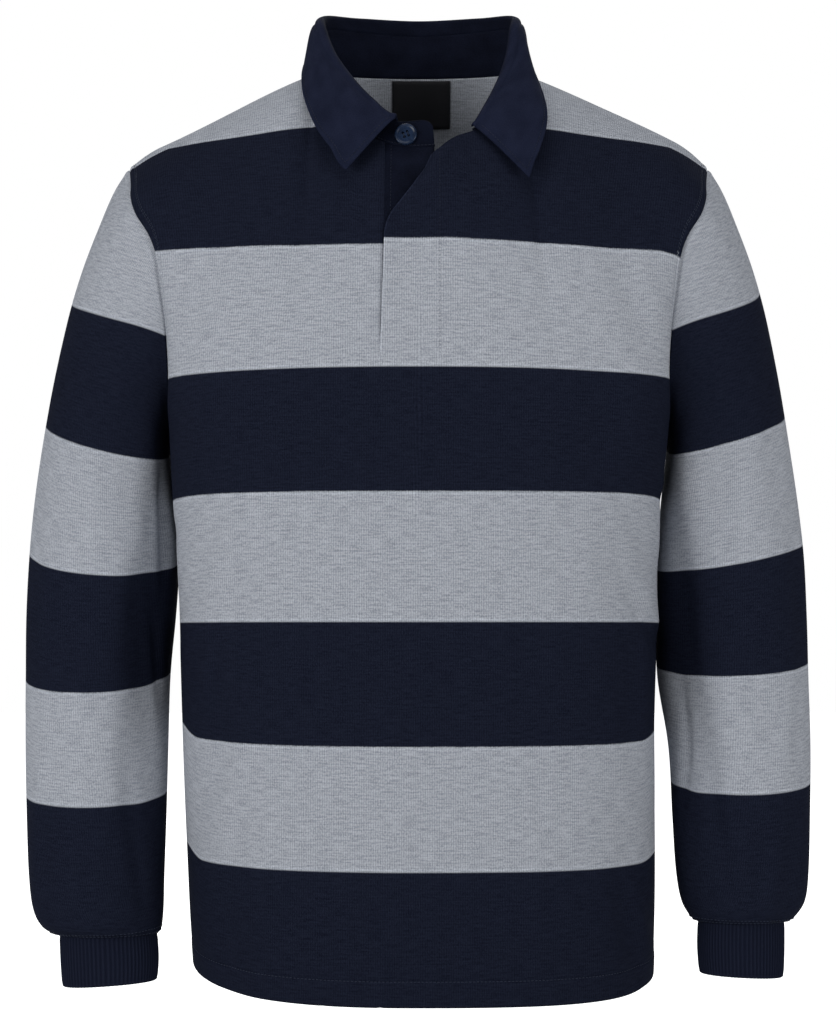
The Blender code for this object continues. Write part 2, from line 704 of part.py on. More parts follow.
def build_body_and_sleeves():
    front = shift(front_grid(), FRONT)
    back = shift(back_grid(), BACK)
    front_out = panel_normals(front)
    back_out = panel_normals(back)
    first = LOWER_ROWS
    for side in (-1, 1):
        grid = sleeve_grid(side)
        out = grid_normals(grid, closed=True)
        if side < 0:
            grid, out = mirrored(grid), mirrored(out)
        middle = grid.mean(axis=1, keepdims=True)
        if np.sum(out[4] * (grid[4] - middle[4])) < 0:
            out = -out
        front_column = -1 if side > 0 else 0
        back_column = 0 if side > 0 else -1
        count = len(sleeve_turns())
        for j in range(UPPER_ROWS + 1):
            for column, normals, n in ((front_column, front_out, j),
                                       (back_column, back_out, (count - j) % count)):
                mitre = unit(normals[first + j, column] + out[0, n])
                normals[first + j, column] = mitre
        for n, (face, share) in enumerate(sleeve_turns()):
            j = round(share * UPPER_ROWS)
            normals, column = ((front_out, front_column) if face == FRONT
                               else (back_out, back_column))
            out[0, n] = normals[first + j, column]
        name = "sleeve_right" if side > 0 else "sleeve_left"
        add_wall(name, grid, grid - out * KNIT, GREY_KNIT, closed=True)
    slit_column = len(NECK_SHARES[FRONT] + OUTER_SHARES)
    slit_cells = {(j, slit_column) for j in range(first + SLIT_ROW, first + UPPER_ROWS)}
    add_wall("front", front, front - front_out * KNIT, GREY_KNIT, missing=slit_cells)
    add_wall("back", back, back - back_out * KNIT, GREY_KNIT)


# ---- plackets ----
def placket_heights():
    return [1 + i / UPPER_ROWS for i in range(SLIT_ROW, UPPER_ROWS + 1)]


def build_placket_upper():
    rows = []
    for height in placket_heights():
        centre_z = body_point(FRONT, 0.0, height)[2]
        free = edge_x(OPEN_EDGE, centre_z)
        roll = ROLL_IN * ease((centre_z - OPEN_EDGE[1].z) / FLARE_HEIGHT)
        row = []
        for i in range(PLACKET_COLUMNS + 1):
            x = free + (PLACKET_SEAM_X - free) * i / PLACKET_COLUMNS
            u = u_at_x(FRONT, x, height)
            stand = lap_out(x, height) - roll * (1 - i / PLACKET_COLUMNS) ** 3
            row.append(body_point(FRONT, u, height) + front_normal(u, height) * stand
                       + drawn(x, height))
        rows.append(row)
    outer = shift(np.array(rows), FRONT)
    outer[0, :, 2] += SEAM_GAP
    add_wall("placket_upper", outer, outer - grid_normals(outer) * KNIT, GREY_KNIT)


def build_placket_under():
    rows = []
    for height in placket_heights():
        row = []
        for x in under_columns(body_point(FRONT, 0.0, height)[2]):
            u = u_at_x(FRONT, x, height)
            sink = placket_sink(height) + SEAM_GAP / 2
            row.append(body_point(FRONT, u, height) - front_normal(u, height) * sink)
        rows.append(row)
    outer = shift(np.array(rows), FRONT)
    add_wall("placket_under", outer, outer - grid_normals(outer) * KNIT, NAVY_FACING)


# ---- cuffs ----
def cuff_ring(row, point_count, raised):
    middle_x = (row.inner_x + row.outer_x) / 2
    half_width = (row.outer_x - row.inner_x) / 2
    ring = []
    for n in range(point_count):
        angle = 2 * math.pi * n / point_count
        out = RIB_RAISE if raised and n % 2 else 0.0
        x = middle_x - (half_width + out) * ring_power(math.cos(angle), SLEEVE_SQUARENESS)
        y = row.mid_y - (row.half_depth + out) * ring_power(math.sin(angle), SLEEVE_SQUARENESS)
        share = (x - row.inner_x) / (row.outer_x - row.inner_x)
        ring.append((x, y, row.inner_z + (row.outer_z - row.inner_z) * share))
    return ring


def build_cuff(name, side):
    count = 2 * CUFF_RIBS
    outer = np.array([cuff_ring(row, count, True) for row in CUFF[side]])
    plain = np.array([cuff_ring(row, count, False) for row in CUFF[side]])
    middle = plain.mean(axis=1, keepdims=True)
    inward = middle - plain
    inward /= np.linalg.norm(inward, axis=2, keepdims=True)
    inner = plain + inward * RIB_CLOTH
    if side < 0:
        outer, inner = mirrored(outer), mirrored(inner)
    add_wall(name, outer, inner, NAVY_RIB, closed=True)


# ---- collar ----
def neck_outward(sweep):
    turn = math.radians(sweep)
    return np.array([-math.sin(turn), -math.cos(turn), 0.0])


def collar_station(sweep):
    row = row_at(COLLAR, "sweep", sweep)
    base = neck_seam(sweep)
    fold = np.array([row["fold_x"], row["fold_y"], row["fold_z"]])
    edge = np.array([row["edge_x"], row["edge_y"], row["edge_z"]])
    up = unit(fold - base)
    share = math.sin(math.radians(sweep) / 2) ** 2
    rise = LEAF_RISE_FRONT + (LEAF_RISE_BACK - LEAF_RISE_FRONT) * share
    rise = min(rise, np.linalg.norm(fold - base) * 0.5)
    return base, fold - up * rise, fold, edge, up


def collar_sweeps(start):
    return np.arange(start, COLLAR_END + COLLAR_STEP / 2, COLLAR_STEP)


def build_collar_band():
    rows = []
    inner_rows = []
    for sweep in collar_sweeps(BAND_START):
        base, seam, _, _, up = collar_station(sweep)
        from_end = min(np.linalg.norm(base - neck_seam(BAND_START)),
                       np.linalg.norm(base - neck_seam(COLLAR_END))) / BAND_END_RADIUS
        lost = (1 - math.sqrt(max(1 - (1 - min(from_end, 1)) ** 2, 0))) * BAND_END_RADIUS
        bottom = base + up * SEAM_GAP
        full = np.linalg.norm(seam - bottom)
        height = max(full - lost, full * BAND_END_SHARE)
        outward = neck_outward(sweep)
        outward = unit(outward - up * np.dot(outward, up))
        row = [bottom + up * height * k / 3 for k in range(4)]
        rows.append(row)
        inner_rows.append([p - outward * BAND_CLOTH for p in row])
    add_wall("collar_band", np.array(rows), np.array(inner_rows), NAVY_FACING)


def leaf_profile(sweep):
    """The collar's seen side at one station: up inside the neck, over the fold and down."""
    _, seam, fold, edge, up = collar_station(sweep)
    outward = neck_outward(sweep)
    outward = unit(outward - up * np.dot(outward, up))
    inside = -outward * BAND_CLOTH
    start = seam + up * SEAM_GAP + inside
    radius = min(FOLD_RADIUS, np.linalg.norm(fold - seam) - SEAM_GAP)
    centre = fold - up * radius + outward * (radius - BAND_CLOTH)
    points = [start]
    for degrees in (180, 135, 90, 45, 0):
        angle = math.radians(degrees)
        points.append(centre + (outward * math.cos(angle) + up * math.sin(angle)) * radius)
    last = points[-1]
    for share in LEAF_SHARES:
        bow = outward * LEAF_BOW * math.sin(math.pi * math.sqrt(share))
        points.append(last + (edge - last) * share + bow)
    return points


def build_collar_leaf():
    seen = np.array([leaf_profile(sweep) for sweep in collar_sweeps(LEAF_START)])
    normals = grid_normals(seen)
    back = len(seen) // 2
    if normals[back, -1, 1] < 0:
        normals = -normals
    add_wall("collar_leaf", seen, seen - normals * LEAF_CLOTH, NAVY_TWILL)


# ---- label ----
def on_grid(points, x, z):
    """Point of a panel's own facets at an x and z near the panel's middle."""
    middle = points.shape[1] // 2
    heights = points[:, middle, 2]
    upper = int(np.searchsorted(heights, z))
    share = (z - heights[upper - 1]) / (heights[upper] - heights[upper - 1])
    row = points[upper - 1] * (1 - share) + points[upper] * share
    order = np.argsort(row[:, 0])
    return np.array([np.interp(x, row[order, 0], row[order, k]) for k in range(3)])


def build_label():
    panel = shift(back_grid(), BACK)
    rows = []
    for k in range(LABEL_ROWS + 1):
        z = LABEL_BOTTOM_Z + (LABEL_TOP_Z - LABEL_BOTTOM_Z) * k / LABEL_ROWS
        xs = np.linspace(LABEL_RIGHT_X, LABEL_LEFT_X, LABEL_COLUMNS + 1)
        rows.append([on_grid(panel, x, z) for x in xs])
    laid = np.array(rows)
    out = grid_normals(laid)
    outer = laid - out * (KNIT + LABEL_GAP)
    add_wall("neck_label", outer, outer - out * LABEL_CLOTH, LABEL_SATIN)


# ---- button ----
def button_frame():
    """Middle of the button's back, and its directions across, up and out of the band."""
    base, seam, _, _, up = collar_station(BUTTON_SWEEP)
    outward = neck_outward(BUTTON_SWEEP)
    outward = unit(outward - up * np.dot(outward, up))
    across = np.cross(up, outward)
    return base + (seam - base) * BUTTON_UP + outward * BUTTON_SEAT, across, up, outward


def disc_ring(frame, centre, radius, stand, sides):
    """Points of a ring in the button's plane; centre is its place across and up."""
    seat, across, up, outward = frame
    ring = []
    for n in range(sides):
        angle = 2 * math.pi * n / sides
        ring.append(seat + across * (centre[0] + radius * math.cos(angle))
                    + up * (centre[1] + radius * math.sin(angle)) + outward * stand)
    return ring


def stacked_rings(count, sides, start=0):
    """Faces of a closed round solid made of rings one above the other."""
    faces = [[start + n for n in range(sides)]]
    for k in range(count - 1):
        low, high = start + k * sides, start + (k + 1) * sides
        for n in range(sides):
            m = (n + 1) % sides
            faces.append([low + n, low + m, high + m, high + n])
    top = start + (count - 1) * sides
    faces.append([top + n for n in range(sides)])
    return faces


def build_button():
    frame = button_frame()
    dish = BUTTON_RADIUS - BUTTON_RIM
    profile = (
        (BUTTON_RADIUS - BUTTON_ROUND, 0.0),
        (BUTTON_RADIUS, BUTTON_ROUND),
        (BUTTON_RADIUS, BUTTON_THICK - BUTTON_ROUND),
        (BUTTON_RADIUS - BUTTON_ROUND, BUTTON_THICK),
        (dish, BUTTON_THICK),
        (dish - BUTTON_SLOPE, BUTTON_THICK - BUTTON_DISH),
    )
    rings = [disc_ring(frame, (0, 0), radius, stand, BUTTON_SIDES) for radius, stand in profile]
    vertices = [point for ring in rings for point in ring]
    faces = stacked_rings(len(profile), BUTTON_SIDES)
    button = add_object("button_neck", vertices, faces, BUTTON_RESIN)
    holes = []
    hole_faces = []
    for k in range(BUTTON_HOLES):
        turn = 2 * math.pi * (k + 0.5) / BUTTON_HOLES
        centre = (BUTTON_HOLE_SPREAD * math.cos(turn), BUTTON_HOLE_SPREAD * math.sin(turn))
        hole_faces += stacked_rings(2, BUTTON_HOLE_SIDES, len(holes))
        for stand in (-DRILL_OVERRUN, BUTTON_THICK + DRILL_OVERRUN):
            holes += disc_ring(frame, centre, BUTTON_HOLE_RADIUS, stand, BUTTON_HOLE_SIDES)
    drill = add_object("button_drill", holes, hole_faces, BUTTON_RESIN, smooth_shade=False)
    drill.hide_render = True
    drill.display_type = "WIRE"
    cut = button.modifiers.new("holes", "BOOLEAN")
    cut.operation = "DIFFERENCE"
    cut.solver = "EXACT"
    cut.object = drill


for old in list(bpy.data.objects):
    bpy.data.objects.remove(old)
build_body_and_sleeves()
build_placket_upper()
build_placket_under()
build_cuff("cuff_left", -1)
build_cuff("cuff_right", 1)
build_collar_band()
build_collar_leaf()
build_label()
build_button()
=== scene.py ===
"""Looks of a long-sleeved striped rugby shirt, filled out as if worn, with nobody in it.

Sizes are in millimetres and are scaled to metres when a mesh is made.  The front faces -Y, +X is
on the right of somebody looking at the front, and the origin is in the middle of the neck opening.
"""
import math
from collections import namedtuple

import bpy
import numpy as np
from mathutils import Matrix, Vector


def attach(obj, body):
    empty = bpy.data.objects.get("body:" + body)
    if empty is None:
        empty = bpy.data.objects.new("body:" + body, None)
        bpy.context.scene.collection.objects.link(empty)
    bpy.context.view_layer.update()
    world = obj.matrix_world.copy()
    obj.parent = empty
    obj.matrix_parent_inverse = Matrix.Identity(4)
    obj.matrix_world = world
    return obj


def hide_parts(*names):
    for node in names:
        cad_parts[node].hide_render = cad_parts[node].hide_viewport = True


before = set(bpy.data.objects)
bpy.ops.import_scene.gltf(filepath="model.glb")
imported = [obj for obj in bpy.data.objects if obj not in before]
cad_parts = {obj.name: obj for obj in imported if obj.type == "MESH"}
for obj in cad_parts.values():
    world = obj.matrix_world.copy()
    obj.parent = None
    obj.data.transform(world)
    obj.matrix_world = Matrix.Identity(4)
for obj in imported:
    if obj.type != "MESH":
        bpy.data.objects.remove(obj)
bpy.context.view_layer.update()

# ---------------------------------------------------------------- studio
# A pale floor and a white surround, with large soft lamps in front and above, and the camera
# level with the chest, two metres away.
CAMERA_PLACE = (0.0, -2.2, -0.443)
CAMERA_PITCH = 2.271                # degrees above level
CAMERA_LENS = 95.73
CAMERA_REACH = 100.0
FLOOR_Z = -0.79
FLOOR_SIZE = 16.0
FLOOR_SEEN, FLOOR_LIGHT = 1.0, 0.05             # its glow as the camera sees it, and as light
SURROUND_SEEN, SURROUND_LIGHT = 1.0, 0.25
LAMP_AIM = (0.0, 0.0, -0.3)
LAMPS = (                           # name, place, size, watts
    ("lamp_front_left", (-2.3, -2.3, -0.05), 1.8, 46.5),
    ("lamp_front_right", (2.2, -2.4, -0.45), 1.8, 39.5),
    ("lamp_top", (0.0, -0.6, 2.2), 2.0, 15),
    ("lamp_back", (0.3, 2.6, 1.4), 1.8, 30),
)

def new_object(name, data):
    made = bpy.data.objects.new(name, data)
    bpy.context.scene.collection.objects.link(made)
    return made


def seen_and_lit(tree, seen, light, socket):
    """Feed a socket one value where the camera sees it, and another where it gives light."""
    rays = tree.nodes.new("ShaderNodeLightPath")
    value = tree.nodes.new("ShaderNodeMapRange")
    value.inputs["To Min"].default_value = light
    value.inputs["To Max"].default_value = seen
    tree.links.new(rays.outputs["Is Camera Ray"], value.inputs["Value"])
    tree.links.new(value.outputs["Result"], socket)


camera = new_object("camera", bpy.data.cameras.new("camera"))
camera.location = CAMERA_PLACE
camera.rotation_euler = (math.radians(90 + CAMERA_PITCH), 0, 0)
camera.data.lens = CAMERA_LENS
camera.data.clip_end = CAMERA_REACH
bpy.context.scene.camera = camera
bpy.context.scene.view_settings.view_transform = "Standard"

world = bpy.data.worlds.new("surround")
bpy.context.scene.world = world
world.use_nodes = True
background = world.node_tree.nodes["Background"]
background.inputs["Color"].default_value = (1.0, 1.0, 1.0, 1)
seen_and_lit(world.node_tree, SURROUND_SEEN, SURROUND_LIGHT, background.inputs["Strength"])

for name, place, size, watts in LAMPS:
    lamp = bpy.data.lights.new(name, "AREA")
    lamp.shape = "SQUARE"
    lamp.size = size
    lamp.energy = watts
    holder = new_object(name, lamp)
    holder.location = place
    aim = Vector(LAMP_AIM) - Vector(place)
    holder.rotation_euler = aim.to_track_quat("-Z", "Y").to_euler()

half = FLOOR_SIZE / 2
floor_mesh = bpy.data.meshes.new("floor")
floor_mesh.from_pydata([(-half, -half, FLOOR_Z), (half, -half, FLOOR_Z), (half, half, FLOOR_Z),
                        (-half, half, FLOOR_Z)], [], [(0, 1, 2, 3)])
floor = new_object("floor", floor_mesh)
floor_paint = bpy.data.materials.new("pale_floor")
floor_paint.use_nodes = True
floor_shader = floor_paint.node_tree.nodes["Principled BSDF"]
for label, value in (("Base Color", (0.8, 0.8, 0.8, 1)), ("Roughness", 0.9),
                     ("Specular IOR Level", 0.1), ("Emission Color", (1, 1, 1, 1))):
    floor_shader.inputs[label].default_value = value
seen_and_lit(floor_paint.node_tree, FLOOR_SEEN, FLOOR_LIGHT,
             floor_shader.inputs["Emission Strength"])
floor_mesh.materials.append(floor_paint)

# ---------------------------------------------------------------- front panel
# The front is cut from one width of striped jersey knit.  It is slit down from the neck, the right
# edge lies over the under placket and rolls open at the top, and the hem is turned up and sewn.
MM = 0.001
KNIT = 1.8                          # thickness of the striped knit
FRONT, BACK = -1, 1                 # which way each panel faces along Y

BodyRow = namedtuple("BodyRow", "z middle_x half_width front back squareness side_rise")
BODY = (                            # rows from the hem up to the underarm
    BodyRow(-737, 4.0, 184.0, 118, 110, 2.40, 22),
    BodyRow(-690, 3.3, 186.0, 118, 110, 2.40, 13),
    BodyRow(-635, 2.2, 187.5, 117, 109, 2.40, 8),
    BodyRow(-540, 0.0, 189.5, 116, 107, 2.45, 8),
    BodyRow(-444, 0.0, 192.0, 117, 107, 2.60, -1),
    BodyRow(-390, -0.8, 193.2, 119, 109, 2.75, -3),
    BodyRow(-344, -1.2, 195.7, 121, 112, 3.00, -5),
    BodyRow(-284, 0.0, 199.5, 123, 115, 3.50, -4),
)
HEM_Z = BODY[0].z
UNDERARM_Z = BODY[-1].z
RISE_POWER = {-1: 2.25, 1: 3.6}     # how each side of a row climbs above its centre
RISE_LEAN = 0.22

NECK_HALF = 80.0
NECK_MID_Y = 4.0
NECK_FRONT_Y = -85.0
NECK_BACK_Y = 62.0
NECK_SIDE_Z = 3.5
NECK_FRONT_Z = -74.0
NECK_BACK_Z = 9.0
NECK_SCOOP = 1.15
NECK_SHARE = 0.23                   # share of a panel's half width that ends at the neck
NeckDraw = namedtuple("NeckDraw", "x rise")
NECK_DRAW = (                       # the open +X side droops at the placket, and rises beyond it
    NeckDraw(8, -9.0),
    NeckDraw(12, -8.5),
    NeckDraw(15, -7.0),
    NeckDraw(20, -3.0),
    NeckDraw(26, 0.5),
    NeckDraw(31, 2.5),
    NeckDraw(42, 2.4),
    NeckDraw(54, 0.6),
    NeckDraw(66, 0.0),
)
DRAW_SLOPE, DRAW_FADE = 0.5, 8
OPEN_SWEEP = 270                    # the neck's open side lies beyond this many degrees
TOP_HEIGHT = 2                      # of a panel, with its hem at 0 and its underarm at 1
SHOULDER_TOP_Z = 6.0
SHOULDER_DIP_REACH = 62.0           # near the neck the shoulders dip below their line
SHOULDER_SLOPE = -0.4755
SHOULDER_DROP = 0.01
SHOULDER_DROP_X = 208.0
SHOULDER_LEAN = 2.2

ArmholePoint = namedtuple("ArmholePoint", "x y z")
ARMHOLE = {                         # each half runs from the underarm up to the shoulder point
    FRONT: (
        ArmholePoint(199.5, 0, -288),
        ArmholePoint(198.5, -28, -278),
        ArmholePoint(197.0, -52, -253),
        ArmholePoint(198.5, -65, -213),
        ArmholePoint(202.5, -67, -184),
        ArmholePoint(208.0, -65, -155),
        ArmholePoint(213.5, -62, -140),
        ArmholePoint(225.0, -54, -121),
        ArmholePoint(230.0, -42, -107),
        ArmholePoint(232.0, -24, -93),
        ArmholePoint(236.0, 5, -76),
    ),
    BACK: (
        ArmholePoint(199.5, 0, -288),
        ArmholePoint(199.0, 30, -279),
        ArmholePoint(201.0, 58, -252),
        ArmholePoint(204.0, 74, -215),
        ArmholePoint(208.0, 79, -180),
        ArmholePoint(213.0, 76, -148),
        ArmholePoint(221.0, 62, -118),
        ArmholePoint(229.0, 36, -93),
        ArmholePoint(236.0, 5, -76),
    ),
}
ChestRow = namedtuple("ChestRow", "half_width edge_depth mid_depth z squareness")
CHEST = {
    FRONT: ChestRow(208, 52, 124, -218, 2.9),
    BACK: ChestRow(209, 58, 117, -190, 2.9),
}
TopFall = namedtuple("TopFall", "share out down reach")
TOP_FALL = {                        # how the cloth falls away from the top edge
    FRONT: (
        TopFall(0.00, 0.45, 0.89, 50),
        TopFall(0.15, 0.80, 0.60, 76),
        TopFall(0.23, 0.95, 0.31, 88),
        TopFall(0.60, 0.93, 0.36, 74),
        TopFall(1.00, 0.90, 0.43, 60),
    ),
    BACK: (
        TopFall(0.00, 0.62, 0.78, 50),
        TopFall(0.11, 0.75, 0.66, 58),
        TopFall(0.17, 0.83, 0.56, 75),
        TopFall(0.23, 0.90, 0.43, 90),
        TopFall(0.33, 0.92, 0.39, 86),
        TopFall(0.60, 0.93, 0.36, 74),
        TopFall(1.00, 0.93, 0.36, 66),
    ),
}
Fold = namedtuple("Fold", "face x z half_x half_z lean depth")
BODY_FOLDS = (                      # the body's largest folds
    Fold(FRONT, -150, -455, 16, 75, 0.25, -2.5),
    Fold(FRONT, 158, -430, 15, 70, -0.20, -2.5),
    Fold(FRONT, -120, -330, 24, 60, -0.30, -2.0),
    Fold(FRONT, 125, -320, 24, 60, 0.30, -2.0),
    Fold(FRONT, 165, -665, 13, 60, -0.10, -3.0),
    Fold(BACK, -130, -430, 20, 120, 0.15, -3.5),
    Fold(BACK, 125, -440, 20, 120, -0.15, -3.5),
    Fold(BACK, 0, -600, 30, 110, 0.00, -3.0),
)


def smooth(keys, values, at):
    """Values, one row for each key, on the smooth curve through rising keys, at an array."""
    keys = np.asarray(keys, float)
    values = np.asarray(values, float)
    at = np.clip(np.asarray(at, float), keys[0], keys[-1])
    i = np.clip(np.searchsorted(keys, at, side="right") - 1, 0, len(keys) - 2)
    chords = (values[1:] - values[:-1]) / np.diff(keys)[:, None]
    slope_a = (chords[np.maximum(i - 1, 0)] + chords[i]) / 2
    slope_b = (chords[i] + chords[np.minimum(i + 1, len(chords) - 1)]) / 2
    width = (keys[i + 1] - keys[i])[..., None]
    t = (at - keys[i])[..., None] / width
    return ((2 * t**3 - 3 * t**2 + 1) * values[i] + (t**3 - 2 * t**2 + t) * width * slope_a
            + (3 * t**2 - 2 * t**3) * values[i + 1] + (t**3 - t**2) * width * slope_b)


def read(table, key, at):
    """A table's other columns at values of its column named key, as a dictionary of arrays."""
    names = [name for name in table[0]._fields if name != key]
    values = [[getattr(row, name) for name in names] for row in table]
    found = smooth([getattr(row, key) for row in table], values, at)
    return {name: found[..., k] for k, name in enumerate(names)}


def ease(t):
    t = np.clip(t, 0.0, 1.0)
    return t * t * (3 - 2 * t)


def bulge(distance, place, width):
    """A smooth rise, 1 high at a place and nearly gone two widths away from it."""
    return np.exp(-((distance - place) / width) ** 2)


def unit(v):
    return v / np.maximum(np.linalg.norm(v, axis=-1, keepdims=True), 1e-9)


def point(x, y, z):
    return np.stack(np.broadcast_arrays(x, y, z), axis=-1)


def ring_power(value, squareness):
    return np.copysign(np.abs(value) ** (2 / squareness), value)


def neck(sweep):
    """Neck seam; sweep is in degrees from the front, past -X, the back and +X."""
    turn = np.radians(sweep)
    ahead = np.maximum(np.cos(turn), 0)
    behind = np.maximum(-np.cos(turn), 0)
    y = NECK_MID_Y + (NECK_FRONT_Y - NECK_MID_Y) * ahead + (NECK_BACK_Y - NECK_MID_Y) * behind
    z = (NECK_SIDE_Z + (NECK_FRONT_Z - NECK_SIDE_Z) * ahead ** NECK_SCOOP
         + (NECK_BACK_Z - NECK_SIDE_Z) * behind)
    return point(-NECK_HALF * np.sin(turn), y, z)


def drawn(x, height):
    """How far the front's open side moves at its neck edge, and less and less below it."""
    rise = read(NECK_DRAW, "x", x)["rise"] * np.maximum(height - 1, 0) ** DRAW_FADE
    return point(0 * rise, DRAW_SLOPE * rise, rise)


def open_neck(sweep):
    """Neck seam, drawn as the front is on its open side."""
    found = neck(sweep)
    moved = drawn(found[..., 0], TOP_HEIGHT * np.ones_like(sweep))
    return found + moved * (sweep > OPEN_SWEEP)[..., None]


def shoulder(along, side):
    tip = ARMHOLE[FRONT][-1]
    x = NECK_HALF + (tip.x - NECK_HALF) * along
    z = SHOULDER_TOP_Z + SHOULDER_SLOPE * (x - NECK_HALF)
    z -= SHOULDER_DROP * np.maximum(x - SHOULDER_DROP_X, 0) ** 2
    near = np.maximum(1 - (x - NECK_HALF) / SHOULDER_DIP_REACH, 0)
    z -= (SHOULDER_TOP_Z - NECK_SIDE_Z) * near ** 2
    z += side * SHOULDER_LEAN * np.sin(np.pi * along ** 2)
    return point(x, NECK_MID_Y + (tip.y - NECK_MID_Y) * along, z)


def top_edge(face, share, side):
    """Top edge of a panel's +X half: the neck up to NECK_SHARE, then the shoulder."""
    quarter = 90 * np.minimum(share / NECK_SHARE, 1)
    at_neck = neck(-quarter if face == FRONT else 180 + quarter)
    at_shoulder = shoulder(np.clip((share - NECK_SHARE) / (1 - NECK_SHARE), 0, 1), side)
    return np.where((share <= NECK_SHARE)[..., None], at_neck, at_shoulder)


def line_lengths(points):
    """How far along a line each of its points lies."""
    return np.concatenate([[0], np.cumsum(np.linalg.norm(np.diff(points, axis=0), axis=1))])


def armhole(face, share):
    points = np.array(ARMHOLE[face], float)
    lengths = line_lengths(points)
    return smooth(lengths / lengths[-1], points, share)


def panel_row(face, share, half_width, edge_depth, mid_depth, squareness):
    angle = share * math.pi / 2
    x = half_width * ring_power(np.sin(angle), squareness)
    depth = edge_depth + (mid_depth - edge_depth) * ring_power(np.cos(angle).clip(0), squareness)
    return x, face * depth


def lower_point(face, share, side, height):
    z = HEM_Z + (UNDERARM_Z - HEM_Z) * height
    row = read(BODY, "z", z)
    depth = row["front"] if face == FRONT else row["back"]
    x, y = panel_row(face, share, row["half_width"], 0, depth, row["squareness"])
    rise = row["side_rise"] * share ** np.where(side > 0, RISE_POWER[1], RISE_POWER[-1])
    rise *= np.where(row["side_rise"] > 0, 1 - side * RISE_LEAN, 1)
    return point(x, y, z + rise)


def upper_point(face, share, side, up):
    start = lower_point(face, share, side, np.ones_like(up))
    chest = CHEST[face]
    x, y = panel_row(face, share, chest.half_width, chest.edge_depth, chest.mid_depth,
                     chest.squareness)
    top = top_edge(face, share, side)
    fall = read(TOP_FALL[face], "share", share)
    way = unit(point(0.0, face * fall["out"], -fall["down"]))
    up = up[..., None]
    return ((1 - up) ** 3 * start + 3 * up * (1 - up) ** 2 * point(x, y, float(chest.z))
            + 3 * up ** 2 * (1 - up) * (top + way * fall["reach"][..., None]) + up ** 3 * top)


def body_points(face, u, height):
    """A panel's cloth: u from -1 to 1 across it; height 0 at the hem, 1 underarm, 2 at the top."""
    u, height = np.broadcast_arrays(np.asarray(u, float), np.asarray(height, float))
    side = np.where(u >= 0, 1.0, -1.0)
    share = np.abs(u)
    low = lower_point(face, share, side, np.minimum(height, 1))
    up = np.maximum(height - 1, 0)
    high = upper_point(face, share, side, up)
    pull = armhole(face, up) - upper_point(face, np.ones_like(share), side, up)
    high = high + pull * share[..., None] ** 3
    middle_x = np.where(height <= 1, read(BODY, "z", low[..., 2])["middle_x"], 0)
    found = np.where((height <= 1)[..., None], low, high)
    found[..., 0] = side * found[..., 0] + middle_x
    outward = unit(point(found[..., 0] / BODY[0].half_width ** 2,
                         found[..., 1] / BODY[0].front ** 2, 0.0))
    depth = np.zeros(u.shape)
    for fold in BODY_FOLDS:
        if fold.face == face:
            along = (found[..., 2] - fold.z) / fold.half_z
            across = (found[..., 0] - fold.x - fold.lean * along * fold.half_z) / fold.half_x
            depth += fold.depth * np.exp(-across ** 2 - along ** 2)
    return found + outward * depth[..., None]


# Stripes: the heights at which the cloth turns from grey to navy or back, from the top down.
SECOND_EDGE_Z = -153.2
TOP_STRIPE = 105.0                  # cloth between the two highest edges
BODY_STRIPES = (SECOND_EDGE_Z + TOP_STRIPE, SECOND_EDGE_Z, -249.0, -344.4, -444.5, -539.9, -635.4)
STRIPE_BOW = 90.0                   # the third edge is a millimetre lower this far out
SIDE_CLIMB = {-1: 8.0, 1: 4.0}      # how far the low edges climb near the side seams
SIDE_CLIMB_START, SIDE_CLIMB_SHARE = -480.0, 0.70
SIDE_CLIMB_FADE_Z, SIDE_CLIMB_FADE = 40.0, 0.2
STRIPE_MARGIN = 50.0                # half a stripe, beyond the first and the last edge
WALE_FADE = 0.8                     # height over which the wales turn to run straight up
EdgePoint = namedtuple("EdgePoint", "x z")
SECOND_EDGE = {
    FRONT: (
        EdgePoint(-240, -153.6),
        EdgePoint(-170, -152.2),
        EdgePoint(-76, -153.3),
        EdgePoint(-27.1, -153.4),
        EdgePoint(-26.7, -148.9),
        EdgePoint(24, -148.6),
        EdgePoint(78, -150.3),
        EdgePoint(140, -153.0),
        EdgePoint(190, -153.7),
        EdgePoint(202, -156.4),
        EdgePoint(210, -161.0),
    ),
    BACK: (
        EdgePoint(-240, -158.0),
        EdgePoint(-120, -152.0),
        EdgePoint(120, -152.0),
        EdgePoint(240, -158.0),
    ),
}
FIRST_EDGE = {                      # the same on both sides of the middle
    FRONT: (
        EdgePoint(86, -53.2),
        EdgePoint(126, -57.0),
        EdgePoint(173, -59.4),
        EdgePoint(203, -61.6),
        EdgePoint(218, -69.0),
        EdgePoint(235, -79.0),
    ),
    BACK: (
        EdgePoint(0, -56.0),
        EdgePoint(120, -60.0),
        EdgePoint(190, -66.0),
        EdgePoint(235, -79.0),
    ),
}

# The mesh: distances of its rows and columns from a seam, and their spacing elsewhere.
CELL = 4.2
SEAM_STEPS = (0.0, 0.7, 1.5, 2.6, 3.9, 5.2, 6.2, 7.2, 8.6, 11.0, 14.5)
HEM_STEPS = (0.0, 0.8, 2.2, 5.5, 9.5, 13.5, 16.5, 18.0, 18.8, 19.6, 20.6, 22.8, 26.0)
ROW_POINTS = 901                    # points that each row is measured by
UPPER_CELLS = 70                    # from the underarm to the top; a sleeve has twice as many
SLIT_HEIGHT = 1 + 15 / UPPER_CELLS  # the slit ends 15 cells above the underarm
NEAR_TOP = (0.990, 0.9955, 1.0)

